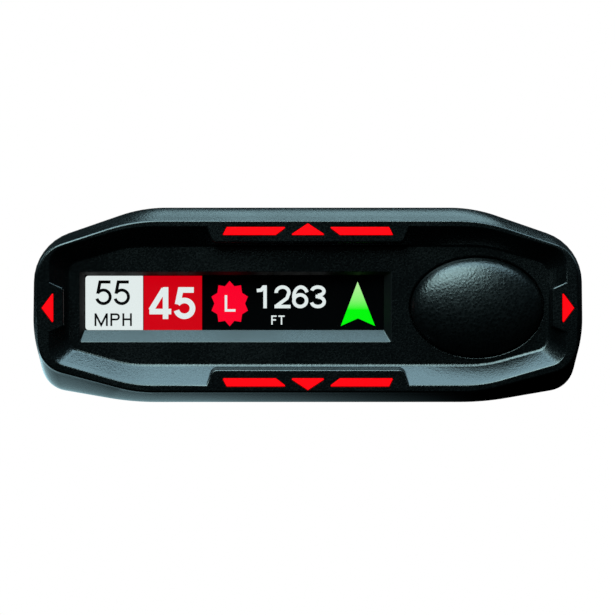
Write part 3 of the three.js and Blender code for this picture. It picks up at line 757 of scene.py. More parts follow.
SMOKED_WINDOW = SmokedSheet("smoked_window", (0.002, 0.002, 0.002), (0.001, 0.001, 0.0012), 0.05)
CLEAR_LENS = ClearGlass("clear_lens", (0.97, 0.98, 0.99), (0.95, 0.97, 0.98), 0.03, 1.49)
LAMP_WHITE = PolishedPlastic("lamp_white", (0.8, 0.77, 0.6), (0.72, 0.7, 0.6), 0.3)
BOARD_GREEN = BoardMask("board_green", (0.012, 0.10, 0.045), (0.03, 0.19, 0.09), 0.35)
TINNED = BareMetal("tinned_steel", (0.66, 0.66, 0.67), (0.56, 0.57, 0.59), 0.32)
DIE_CAST = BareMetal("die_cast", (0.48, 0.49, 0.5), (0.4, 0.41, 0.42), 0.5, (1.0, 1.0, 1.0), 0.03)
PLAIN_STEEL = BareMetal("plain_steel", (0.52, 0.53, 0.55), (0.45, 0.46, 0.48), 0.3, (1.0, 0.06, 1.0))
BLACK_STEEL = BareMetal("black_steel", (0.045, 0.047, 0.05), (0.03, 0.031, 0.034), 0.36)
GOLD_CONTACT = BareMetal("gold_contact", (0.8, 0.55, 0.2), (0.7, 0.47, 0.17), 0.25)
AMBER_FILM = PolishedPlastic("amber_film", (0.35, 0.16, 0.02), (0.28, 0.12, 0.015), 0.3)
PRINT_WHITE = PolishedPlastic("print_white", (0.62, 0.64, 0.65), (0.56, 0.58, 0.6), 0.5)
INK_WHITE = ScreenInk("ink_white", (0.79, 0.87, 0.86), (0.79, 0.87, 0.86), 0.4, 1.18)
INK_RED = ScreenInk("ink_red", (0.64, 0.0, 0.006), (0.64, 0.0, 0.006), 0.4, 1.18)
INK_BADGE = ScreenInk("ink_badge", (1.0, 0.0, 0.024), (1.0, 0.0, 0.024), 0.4, 1.18)
INK_BLACK = ScreenInk("ink_black", (0.002, 0.002, 0.002), (0.002, 0.002, 0.002), 0.4, 0.5)
INK_GREEN = ScreenInk("ink_green", (0.001, 0.98, 0.003), (0.46, 0.9, 0.33), 0.4, 1.18, 13.0, 19.2)

NODE_FINISHES: dict[str, Finish] = {
    "housing_black": HOUSING_BLACK,
    "face_black": FACE_BLACK,
    "key_black": KEY_BLACK,
    "smoked_window": SMOKED_WINDOW,
    "red_lens": RED_LIGHT,
    "infrared_window": INFRARED,
    "circuit_board": BOARD_GREEN,
    "display_glass": PANEL_GLASS,
    "led_white": LAMP_WHITE,
    "tinned_steel": TINNED,
    "die_cast": DIE_CAST,
    "plain_steel": PLAIN_STEEL,
    "black_steel": BLACK_STEEL,
    "speaker_frame": SPEAKER_BLACK,
    "antenna_ceramic": CERAMIC,
    "clear_lens": CLEAR_LENS,
    "flex_film": AMBER_FILM,
    "insert_plastic": INSERT_BLACK,
    "gold_contact": GOLD_CONTACT,
    "chip_black": CHIP_BLACK,
}


# ---------------------------------------------------------------- the housing's form


@dataclass(frozen=True)
class HousingForm:
    """The outer form of the housing, in millimetres.

    Attributes:
        half_width: Half the width at the widest section.
        height: The height at the tallest section.
        wall: Wall thickness.
        section: Right half of the section's corners.
        profile: Y, half width, top and bottom at stations along the housing.
    """

    half_width: float = 45.2
    height: float = 32.0
    wall: float = 1.8
    section: tuple[Corner, ...] = (
        (28.9, 0, 45),
        (42.9, 2.42, 4.6),
        (45.19, 11.2, 20),
        (45, 25.85, 8.6),
        (27.2, 32, 23),
    )
    profile: tuple[tuple[float, float, float, float], ...] = (
        (-57, 45.2, 32, 0),
        (-20, 45.2, 30.8, 0),
        (10, 44.4, 29.7, 0),
        (28, 43, 28.9, 0),
        (44, 41, 27.7, 0),
        (54, 38.9, 26, 0.6),
        (60, 37, 24.4, 1.5),
        (63.6, 35, 22.9, 2.8),
        (65, 33.6, 21.8, 4),
    )

    def _slopes(self, column: int) -> list[float]:
        """Slopes at the stations that keep the curve free of overshoot."""
        rows = self.profile
        steps = [(b[column] - a[column]) / (b[0] - a[0]) for a, b in zip(rows, rows[1:])]
        inner = [2 * a * b / (a + b) if a * b > 0 else 0.0 for a, b in zip(steps, steps[1:])]
        return [steps[0], *inner, steps[-1]]

    def measure(self, column: int, y: float) -> float:
        """One measure of the section at a Y, on a smooth curve through the stations."""
        rows = self.profile
        y = min(max(y, rows[0][0]), rows[-1][0])
        i = max(k for k in range(len(rows) - 1) if rows[k][0] <= y)
        slopes = self._slopes(column)
        span = rows[i + 1][0] - rows[i][0]
        t = (y - rows[i][0]) / span
        a, b = rows[i][column], rows[i + 1][column]
        return (
            a * (2 * t**3 - 3 * t**2 + 1)
            + b * (3 * t**2 - 2 * t**3)
            + slopes[i] * span * (t**3 - 2 * t**2 + t)
            + slopes[i + 1] * span * (t**3 - t**2)
        )

    def top(self, y: float) -> float:
        """Height of the flat top at a Y."""
        return self.measure(2, y)

    def plan(self, grow: float, y0: float = -60.0, y1: float = 48.0, steps: int = 36) -> Outline:
        """The widest outline seen from above, grown or shrunk at its sides."""
        places = [y0 + (y1 - y0) * k / steps for k in range(steps + 1)]
        right = tuple((self.measure(1, y) + grow, y, 0.0) for y in places)
        return Outline(right + tuple((-x, y, 0.0) for x, y, _ in reversed(right)))

    def pocket(self, shape: Outline, floor: float, soft: float = 0.25, fillet: float = 0.2) -> Solid:
        """A tool that cuts a pocket from the sloping top, with an eased lip.

        Args:
            shape: The pocket seen from above.
            floor: Height of its floor.
            soft: Radius of the lip.
            fillet: Radius at the foot of its walls.

        Returns:
            The tool, which stands clear above the top.
        """
        turns = [k * math.pi / 8 for k in range(5)]
        rings = []
        for a in turns:
            foot = shape.inset(fillet * (1 - math.sin(a)))
            rings.append([(x, y, floor + fillet * (1 - math.cos(a))) for x, y in foot.points()])
        for a in turns:
            lip = shape.inset(-soft * (1 - math.cos(a)))
            rings.append([(x, y, self.top(y) - soft + soft * math.sin(a)) for x, y in lip.points()])
        above = shape.inset(-soft - 0.3)
        rings.append([(x, y, self.top(y) + 1.0) for x, y in above.points()])
        return Solid.loft(rings)

    def outline(self, y: float) -> Outline:
        """The section at a Y."""
        width, top, bottom = (self.measure(k, y) for k in (1, 2, 3))
        share = width / self.half_width
        rise = (top - bottom) / self.height
        corners = tuple((x * share, bottom + z * rise, r * min(share, rise)) for x, z, r in self.section)
        return Outline.mirrored(corners)

    def solid(
        self, y0: float, y1: float, inset: float = 0.0, soft: Point = (0.0, 0.0), step: float = 3.0
    ) -> Solid:
        """The form between two planes.

        Args:
            y0: First plane.
            y1: Last plane.
            inset: How far under the surface.
            soft: Radii that round the edges at the first and last plane.
            step: Distance between stations.

        Returns:
            The closed solid.
        """
        inner = max(1, round((y1 - y0 - sum(soft)) / step))
        start, end = y0 + soft[0], y1 - soft[1]
        places = [(start + (end - start) * k / inner, 0.0) for k in range(inner + 1)]
        rounds = [i * math.pi / 8 for i in range(4)]
        if soft[0]:
            lead = [(y0 + soft[0] * (1 - math.cos(a)), soft[0] * (1 - math.sin(a))) for a in rounds]
            places = lead + places
        if soft[1]:
            rounds.reverse()
            places += [(y1 - soft[1] * (1 - math.cos(a)), soft[1] * (1 - math.sin(a))) for a in rounds]
        return Solid.along_y([(y, self.outline(y).inset(inset + extra)) for y, extra in places])

    def ring(self, y0: float, y1: float, outer: float, inner: float) -> Solid:
        """A tube wall that follows the form, between two depths under its surface."""
        return self.solid(y0, y1, outer).cut(self.solid(y0 - 1, y1 + 1, inner))


FORM = HousingForm()


# ---------------------------------------------------------------- the display face


@dataclass
class FrontBezel:
    """The rim, its sloping inner wall, the recessed face and the tabs that carry the lamps.

    Attributes:
        rim_y: Front plane of the rim.
        face_y: The recessed face.
        sill_y: Back edge of the display opening's sloping sides.
        back_y: Back of the face plate.
        join_y: Where the shells begin.
        edge: Radius of the rim's outer edge.
        fillet: Radius where the sloping wall meets the face.
        middle: Height of the face's level centre line.
    """

    rim_y: float = -62.9
    face_y: float = -60.2
    sill_y: float = -58.8
    back_y: float = -58.2
    join_y: float = -57.0
    edge: float = 0.4
    fillet: float = 0.25
    middle: float = 16.0
    rim: Outline = Outline.mirrored(
        ((28.2, 1.75, 23), (44.2, 5.95, 5.2), (44.5, 15.4, 60), (44.2, 25.05, 5.5), (28.6, 30.15, 28))
    )
    rim_inner: Outline = Outline.mirrored(
        ((28.7, 2.96, 23), (42.4, 6.95, 3), (42.45, 16, 60), (42.4, 25.05, 3), (28.7, 29.04, 23))
    )
    face: Outline = Outline.mirrored(
        ((29.3, 6.2, 20), (39.4, 9.05, 2.2), (39.42, 16, 60), (39.4, 22.95, 2.2), (29.3, 25.8, 20))
    )
    tab_low: Outline = Outline(((-17.0, 2.3, 0.4), (17.0, 2.3, 0.4), (15.6, 5.6, 1.1), (-15.6, 5.6, 1.1)), 5)
    tab_right: Outline = Outline(
        (
            (43.7, 11.1, 0.3),
            (43.7, 20.5, 0.3),
            (42.7, 20.1, 0.5),
            (40.0, 18.9, 0.5),
            (40.0, 12.6, 0.5),
            (42.6, 11.5, 0.5),
        ),
        4,
    )
    window: tuple[float, float, float, float] = (-36.7, 12.5, 11.9, 20.95)
    dome: Ellipse = Ellipse(27.7, 15.75, 10.8, 8.1)

    def build(self) -> None:
        """Makes the bezel in one piece and puts it in its node's place."""
        plate = self._flank().cut(self._recess())
        plate = plate.join(*[self._tab(shape) for shape in self._tabs()])
        plate = plate.cut(FORM.solid(self.back_y, self.join_y + 3, FORM.wall))
        plate = plate.join(FORM.ring(self.back_y - 0.4, -53.6, FORM.wall + 0.3, FORM.wall + 1.5))
        plate = plate.cut(self._window_mouth(), self._dome_mouth(), self._lamp_mouths())
        piece = plate.show("bezel", FACE_BLACK, Bodies.HOUSING)
        self._paint_sill_light_and_wall_shade(piece.data)
        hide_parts("front_bezel")

    def _paint_sill_light_and_wall_shade(self, mesh: bpy.types.Mesh) -> None:
        """Splits the walls round the display by which way they face: the upward-facing sill gets a lighter
        teal colour, painted light, and the other walls a darker colour with weak reflection, painted shade;
        both also have a finer grain than the face.

        Args:
            mesh: The bezel's mesh.
        """
        mesh.materials.append(LIT_SILL_BLACK.material())
        mesh.materials.append(SHADED_WALL_BLACK.material())
        left, right, low, high = (value / 1000 for value in self.window)
        margin = 0.0015
        for polygon in mesh.polygons:
            x, y, z = polygon.center
            inside = left - margin < x < right + margin and low - 2 * margin < z < high + margin
            if inside and self.face_y / 1000 < y and polygon.normal.y > -0.98:
                # Facing up gets the painted-light sill finish; the other walls get the painted-shade wall
                # finish.
                polygon.material_index = 1 if polygon.normal.z > 0.3 else 2

    def _flank(self) -> Solid:
        """The outer form, from the rounded rim edge out to the housing's section."""
        body = FORM.outline(self.join_y)
        stations: list[Station] = []
        for k in range(6):
            angle = math.pi / 2 * k / 5
            y = self.rim_y + self.edge * (1 - math.cos(angle))
            stations.append((y, self.rim.inset(self.edge * (1 - math.sin(angle)))))
        start = self.rim_y + self.edge
        for k in range(1, 15):
            t = k / 14
            y = start + (self.join_y - 0.25 - start) * t
            stations.append((y, self.rim.mixed(body, 1 - (1 - t) ** 1.63)))
        stations.append((self.join_y - 0.07, body.inset(0.07)))
        stations.append((self.join_y, body.inset(0.25)))
        return Solid.along_y(stations)

    def _recess(self) -> Solid:
        """The space between the sloping walls, ending in a fillet at the face."""
        lip = self.rim_y + 0.12
        stations: list[Station] = [
            (self.rim_y - 1.0, self._wall_at(self.rim_y - 1.0).inset(-0.25)),
            (self.rim_y, self._wall_at(self.rim_y).inset(-0.12)),
            (lip, self._wall_at(lip)),
        ]
        end = self.face_y - self.fillet
        for k in range(1, 5):
            y = lip + (end - lip) * k / 4
            stations.append((y, self._wall_at(y)))
        for k in range(1, 6):
            angle = math.pi / 2 * k / 5
            y = end + self.fillet * math.sin(angle)
            stations.append((y, self._wall_at(y).inset(self.fillet * (1 - math.cos(angle)))))
        return Solid.along_y(stations)

    def _wall_at(self, y: float) -> Outline:
        """The outline of the sloping wall at one depth."""
        return self.face.mixed(self.rim_inner, (self.face_y - y) / (self.face_y - self.rim_y))

    def _tabs(self) -> list[Outline]:
        """The four tabs: bottom, top, right and left."""
        return [self.tab_low, self.tab_low.flipped(self.middle), self.tab_right, self.tab_right.across()]

    def _tab(self, shape: Outline) -> Solid:
        """One tab, with a soft front edge and a little draft."""
        soft = 0.28
        stations: list[Station] = []
        for k in range(4):
            angle = math.pi / 2 * k / 3
            y = self.rim_y + soft * (1 - math.cos(angle))
            stations.append((y, shape.inset(soft * (1 - math.sin(angle)))))
        stations.append((self.face_y - 0.35, shape.inset(-0.3)))
        stations.append((self.face_y - 0.08, shape.inset(-0.42)))
        stations.append((self.face_y + 1.0, shape.inset(-0.7)))
        return Solid.along_y(stations)

    def _window_mouth(self) -> Solid:
        """The display opening, whose sides slope down to the window."""
        depths = (
            (self.face_y - 1.0, 3.4),
            (self.face_y - 0.02, 2.14),
            (self.face_y + 0.05, 1.94),
            (self.face_y + 0.14, 1.8),
            (self.sill_y, 0.0),
            (self.back_y + 1.0, 0.0),
        )
        return Solid.along_y([(y, self._mouth_at(grow)) for y, grow in depths])

    def _mouth_at(self, grow: float) -> Outline:
        """The outline of the display opening, grown from the window on each side."""
        left, right, low, high = self.window
        return Outline.rectangle(
            left - 0.4 * grow, right + 0.6 * grow, low - 0.96 * grow, high + 0.3 * grow, 0.12 + 0.1 * grow, 4
        )

    def _dome_mouth(self) -> Solid:
        """The oval hole of the mute dome, with a soft lip."""
        hole = self.dome.inset(-0.25)
        return Solid.along_y(
            [
                (self.face_y - 3.0, hole.inset(-0.3)),
                (self.face_y, hole.inset(-0.22)),
                (self.face_y + 0.06, hole.inset(-0.08)),
                (self.face_y + 0.22, hole),
                (self.back_y + 1.0, hole),
            ]
        )

    def _lamp_mouths(self) -> Solid:
        """Holes for the lit heads, a hair wider than the heads."""
        shapes = LightPipes().heads()
        return Solid.gathered(
            [
                Solid.along_y([(self.rim_y - 1, shape.inset(-0.1)), (self.back_y + 1, shape.inset(-0.1))])
                for shape in shapes
            ]
        )


@dataclass
class LightPipes:
    """The four red light pipes: lit heads in the rim, and the runners behind them.

    Attributes:
        bar: The right-hand bar at the top.
        arrow_up: The arrow between the bars.
        arrow_right: The arrow at the right end.
        middle: Height half-way between the top and the bottom heads.
        front_y: Front of the heads.
        runner_y: Front and back of the runners.
        soft: Width of the heads' softened edge.
    """

    bar: Outline = Outline(
        ((5.25, 27.65, 0.1), (13.95, 27.65, 0.1), (13.3, 28.93, 0.1), (3.55, 28.93, 0.1)), 3
    )
    arrow_up: Outline = Outline(((-2.85, 27.65, 0.1), (2.85, 27.65, 0.1), (0, 29.53, 0.1)), 3)
    arrow_right: Outline = Outline(((41.75, 13.2, 0.1), (43.6, 15.7, 0.1), (41.75, 18.2, 0.1)), 3)
    middle: float = 15.88
    front_y: float = -62.86
    runner_y: Point = (-57.9, -54.2)
    soft: float = 0.06

    def heads(self) -> list[Outline]:
        """All eight heads."""
        return [*self._top(), *self._bottom(), self.arrow_right, self.arrow_right.across()]

    def build(self) -> None:
        """Makes the pipes."""
        across = (-14.6, 14.6)
        self._pipe("top_light_guide", self._top(), across, (26.9, 28.6), "top_light_pipe")
        self._pipe("bottom_light_guide", self._bottom(), across, (3.6, 5.1), "bottom_light_pipe")
        self._pipe("right_light_guide", [self.arrow_right], (39.7, 42.2), (13.6, 18.0), "right_light_pipe")
        left = [self.arrow_right.across()]
        self._pipe("left_light_guide", left, (-42.2, -39.7), (13.6, 18.0), "left_light_pipe")

    def _top(self) -> list[Outline]:
        """The two bars and the arrow at the top."""
        return [self.bar, self.bar.across(), self.arrow_up]

    def _bottom(self) -> list[Outline]:
        """The two bars and the arrow at the bottom."""
        return [shape.flipped(self.middle) for shape in self._top()]

    def _pipe(self, name: str, heads: list[Outline], x: Point, z: Point, node: str) -> None:
        """One pipe.

        Args:
            name: The piece's name.
            heads: The outlines of its lit heads.
            x: Left and right end of its runner.
            z: Underside and top of its runner.
            node: The node that it stands for.
        """
        pipe = Solid.box(x, self.runner_y, z)
        behind = self.runner_y[0] + 0.4
        for head in heads:
            stations = [
                (self.front_y, head.inset(self.soft)),
                (self.front_y + self.soft, head),
                (behind, head),
            ]
            pipe = pipe.join(Solid.along_y(stations))
        piece = pipe.show(name, RED_LIGHT, Bodies.HOUSING)
        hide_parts(node)


@dataclass
class MuteDome:
    """The textured oval button right of the display.

    Attributes:
        shape: Its outline where it leaves the face.
        rise: How far it stands out of the face.
        face_y: The recessed face.
        back_y: Back of the face plate.
        rings: Rings between the rim and the pole.
    """

    shape: Ellipse = Ellipse(27.7, 15.75, 10.8, 8.1)
    rise: float = 3.0
    face_y: float = -60.2
    back_y: float = -58.2
    rings: int = 22

    def build(self) -> None:
        """Makes the cap with its skirt and flange."""
        stations: list[Station] = []
        for k in (0.25, *range(1, self.rings + 1)):
            angle = math.pi / 2 * (1 - k / self.rings)
            share = math.cos(angle)
            ring = Ellipse(self.shape.x, self.shape.v, self.shape.a * share, self.shape.b * share)
            stations.append((self.face_y - self.rise * math.sin(angle), ring))
        stations.append((self.back_y + 0.3, self.shape))
        stations.append((self.back_y + 0.3, self.shape.inset(-0.7)))
        stations.append((self.back_y + 1.2, self.shape.inset(-0.7)))
        stem = Ellipse(self.shape.x, self.shape.v, 2.2, 2.2)
        stations.append((self.back_y + 1.2, stem))
        stations.append((self.back_y + 2.75, stem))
        piece = Solid.along_y(stations).show("mute_button", DOME_BLACK, Bodies.MUTE)
        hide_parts("mute_dome")


class Weight(Enum):
    """Width of the display figures' strokes, as a share of their height."""

    LIGHT = 0.125
    REGULAR = 0.15
    BOLD = 0.175


@dataclass(frozen=True)
class Lettering:
    """Plain figures and letters drawn with an even pen, in cells one unit tall.

    Attributes:
        pen: Stroke width.
        arc_steps: Pieces in a full turn of an arc.
    """

    pen: float = 0.2
    arc_steps: int = 56

    def word(self, text: str, box: tuple[float, float, float, float], front: float, back: float) -> Solid:
        """A word that fills a box.

        Args:
            text: What it says.
            box: Left, right, low and high, in millimetres.
            front: Y of its front face.
            back: Y of its back face.

        Returns:
            The strokes as one solid.
        """
        left, right, low, high = box
        scale = high - low
        gap = 0.07 if text[0].isdigit() else 0.2
        cells = [self._width(sign) for sign in text]
        stretch = ((right - left) / scale - gap * (len(text) - 1)) / sum(cells)
        strokes = []
        start = 0.0
        for sign, cell in zip(text, cells):
            width = cell * stretch
            reach = 0.62 * width if sign == "1" else width
            glyph = None
            for path in self._paths(sign, reach):
                placed = [(left + (start + u) * scale, low + v * scale) for u, v in path]
                stroke = self._stroke(placed, self.pen * scale, front, back)
                glyph = stroke if glyph is None else glyph.join(stroke)
            strokes.append(glyph)
            start += width + gap
        return Solid.gathered(strokes)

    def _width(self, sign: str) -> float:
        """How wide a sign's cell is."""
        return {"M": 0.98, "T": 0.72, "L": 0.65, "F": 0.62}.get(sign, 0.7)

    def _arc(self, centre: Point, radii: Point, first: float, last: float) -> list[Point]:
        """Points on an ellipse between two angles in degrees."""
        count = max(6, round(abs(last - first) / 360 * self.arc_steps))
        angles = [math.radians(first + (last - first) * k / count) for k in range(count + 1)]
        return [(centre[0] + radii[0] * math.cos(a), centre[1] + radii[1] * math.sin(a)) for a in angles]

    def _paths(self, sign: str, w: float) -> list[list[Point]]:
        """The centre lines of a sign's strokes.

        Args:
            sign: The figure or letter.
            w: Its width.

        Returns:
            One list of points for each stroke.
        """
        h = self.pen / 2
        mid = w / 2
        upright = [(h, 0), (h, 1)]
        match sign:
            case "1":
                flag = [(0, 0.755 + h * 0.2), (0.45 * w, 0.78 + h * 0.2), (w - 1.4 * h, 1 - 0.45 * h)]
                return [[(w - h, 0), (w - h, 1)], flag]
            case "2":
                top = self._arc((mid, 0.69), (mid - h, 0.31 - h), 185, -28)
                return [[*top, (w - 2.1 * h, 0.44), (h * 1.15, h * 1.3)], [(0, h), (w, h)]]
            case "3":
                upper = self._arc((mid, 0.745), (mid - h * 1.15, 0.255 - h), 170, -90)
                lower = self._arc((mid, 0.285), (mid - h, 0.285 - h), 90, -170)
                middle = 0.515
                bar = [(0.36 * w, middle), (mid + 0.05, middle)]
                return [upper, lower, bar]
            case "4":
                slant = [(h * 0.55, 0.27), (0.72 * w - h * 0.4, 1 - h * 0.7)]
                return [[(0.74 * w, 0), (0.74 * w, 1)], [(0, 0.235), (w, 0.235)], slant]
            case "5":
                bowl = self._arc((mid, 0.335), (mid - h, 0.335 - h), 148, -165)
                return [[(0.93 * w, 1 - h), (0.2 * w + h, 1 - h), (0.06 * w + h, 0.46)], bowl]
            case "6":
                bowl = self._arc((mid, 0.33), (mid - h, 0.33 - h), 0, 360)
                back = self._arc((mid + 0.04 * w, 0.5), (mid + 0.04 * w - h, 0.5 - h), 195, 28)
                return [bowl, back]
            case "M":
                return [upright, [(w - h, 0), (w - h, 1)], [(h, 0.97), (mid, h), (w - h, 0.97)]]
            case "P":
                low = 0.44
                half = 0.5 * (1 - low)
                loop = self._arc((w - half, (1 + low) / 2), (half - h, half - h), 90, -90)
                return [upright, [(h, 1 - h), *loop, (h, low + h)]]
            case "H":
                return [upright, [(w - h, 0), (w - h, 1)], [(h, 0.53), (w - h, 0.53)]]
            case "L":
                return [upright, [(h, h), (w, h)]]
            case "F":
                return [upright, [(h, 1 - h), (w, 1 - h)], [(h, 0.52), (0.9 * w, 0.52)]]
            case "T":
                return [[(mid, 0), (mid, 1)], [(0, 1 - h), (w, 1 - h)]]
        raise ValueError(sign)

    def _stroke(self, path: list[Point], width: float, front: float, back: float) -> Solid:
        """A flat stroke along a path, its corners mitred.

        Args:
            path: Points in XZ.
            width: Stroke width.
            front: Y of the front face.
            back: Y of the back face.

        Returns:
            The closed stroke.
        """
        closed = math.dist(path[0], path[-1]) < 1e-6
        count = len(path)
        rings = []
        for i, here in enumerate(path):
            before = path[i - 1] if i else (path[-2] if closed else None)
            after = path[i + 1] if i + 1 < count else (path[1] if closed else None)
            ways = []
            if before is not None:
                ways.append(Vector((here[0] - before[0], here[1] - before[1])).normalized())
            if after is not None:
                ways.append(Vector((after[0] - here[0], after[1] - here[1])).normalized())
            way = sum(ways, Vector((0, 0))).normalized()
            reach = width / 2 / max(0.35, way.dot(ways[0]))
            side = Vector((-way.y, way.x)) * reach
            corners = ((1, front), (-1, front), (-1, back), (1, back))
            rings.append([(here[0] + side.x * k, y, here[1] + side.y * k) for k, y in corners])
        if not closed:
            return Solid.loft(rings)
        half = count // 2
        first = Solid.loft(rings[: half + 1])
        return first.join(Solid.loft(rings[half:]))


@dataclass
class Readout:
    """What the display shows: limit and speed boxes, an alert badge, a distance and an arrow.

    Attributes:
        ground_y: Y of the lit boxes.
        ink_y: Y of the figures on them.
    """

    ground_y: float = -57.04
    ink_y: float = -57.08

    def build(self) -> None:
        """Lays out every lit piece."""
        self._flat("limit_box", self._left_box(), INK_WHITE, self.ground_y)
        speed_box = Outline.rectangle(-27.03, -17.42, 11.86, 20.78)
        self._flat("speed_box", speed_box.points(), INK_RED, self.ground_y)
        self._flat("alert_badge", self._burst(-12.86, 16.21, 3.15, 3.73), INK_BADGE, self.ground_y)
        arrow = [(8.19, 19.83), (5.41, 12.51), (8.25, 13.77), (11.07, 12.51)]
        self._flat("heading_arrow", arrow, INK_GREEN, self.ground_y)
        self._text("limit_figures", "55", (-35.0, -29.27, 15.96, 20.02), INK_BLACK, Weight.LIGHT)
        self._text("limit_unit", "MPH", (-35.11, -28.96, 12.51, 14.6), INK_BLACK, Weight.REGULAR)
        self._text("speed_figures", "45", (-26.08, -18.52, 13.66, 18.91), INK_WHITE, Weight.BOLD)
        self._text("badge_letter", "L", (-13.68, -11.91, 14.88, 17.59), INK_WHITE, Weight.REGULAR)
        self._text("distance_figures", "1263", (-8.4, 2.97, 15.44, 19.21), INK_WHITE, Weight.REGULAR)
        self._text("distance_unit", "FT", (-6.02, -3.83, 12.74, 14.25), INK_WHITE, Weight.REGULAR)

    def _left_box(self) -> list[Point]:
        """The white box, rounded at its left corners."""
        corners = ((-36.6, 11.86, 0.5), (-27.13, 11.86, 0.02), (-27.13, 20.78, 0.02), (-36.6, 20.78, 0.5))
        return Outline(corners, 5).points()

    def _burst(self, x: float, z: float, a: float, b: float, spikes: int = 10) -> list[Point]:
        """A star with shallow spikes."""
        found = []
        for k in range(2 * spikes):
            angle = math.pi / 2 + math.pi * k / spikes
            share = 1.0 if k % 2 == 0 else 0.8
            found.append((x + a * share * math.cos(angle), z + b * share * math.sin(angle)))
        return found

    def _flat(self, name: str, points: list[Point], finish: Finish, y: float) -> None:
        """A thin lit shape."""
        rings = [[(x, y, z) for x, z in points], [(x, y + 0.02, z) for x, z in points]]
        piece = Solid.loft(rings).show(name, finish, Bodies.HOUSING)

    def _text(
        self,
        name: str,
        words: str,
        box: tuple[float, float, float, float],
        finish: Finish,
        weight: Weight,
    ) -> None:
        """Figures or a unit, drawn to fill a box.

        Args:
            name: The piece's name.
            words: What it says.
            box: Left, right, low and high, in millimetres.
            finish: Its ink.
            weight: How heavy it is.
        """
        solid = Lettering(weight.value).word(words, box, self.ink_y, self.ink_y + 0.02)
        solid.show(name, finish, Bodies.HOUSING)


# ---------------------------------------------------------------- casings


@dataclass
class Casing:
    """What the two shells share: a wall that follows the form, parted at one height.

    Attributes:
        front: Front edge of the shells.
        back: Rear edge of the shells.
        split: Height of the parting line.
        gap: Half the clearance at the parting line.
        ease: Chamfer along the parting line.
        bosses: Places of the four housing screws.
    """

    front: float = -56.7
    back: float = 44.0
    split: float = 16.0
    gap: float = 0.1
    ease: float = 0.25
    bosses: tuple[Point, ...] = ((-36.5, -44.0), (-33.5, 34.0), (36.5, -44.0), (33.5, 34.0))

    def tube(self) -> Solid:
        """The wall all the way round, its ends eased."""
        inner = FORM.solid(self.front - 1, self.back + 1, FORM.wall)
        return FORM.solid(self.front, self.back, 0.0, (self.ease, self.ease)).cut(inner)

    def inside(self) -> Solid:
        """The space that fittings inside the wall may fill."""
        return FORM.solid(self.front + 0.3, self.back - 0.3, 0.5)

    def half(self, side: int) -> Solid:
        """Everything on one side of the parting line, its edge eased outwards.

        Args:
            side: 1 for above, -1 for below.

        Returns:
            The region that a shell keeps.
        """
        edge = self.split + side * self.gap
        far = self.split + side * 30
        places = [(edge, -self.ease), (edge + side * self.ease, 0.02), (far, 6.0)]
        return Solid.along_z([(z, FORM.plan(grow)) for z, grow in places])


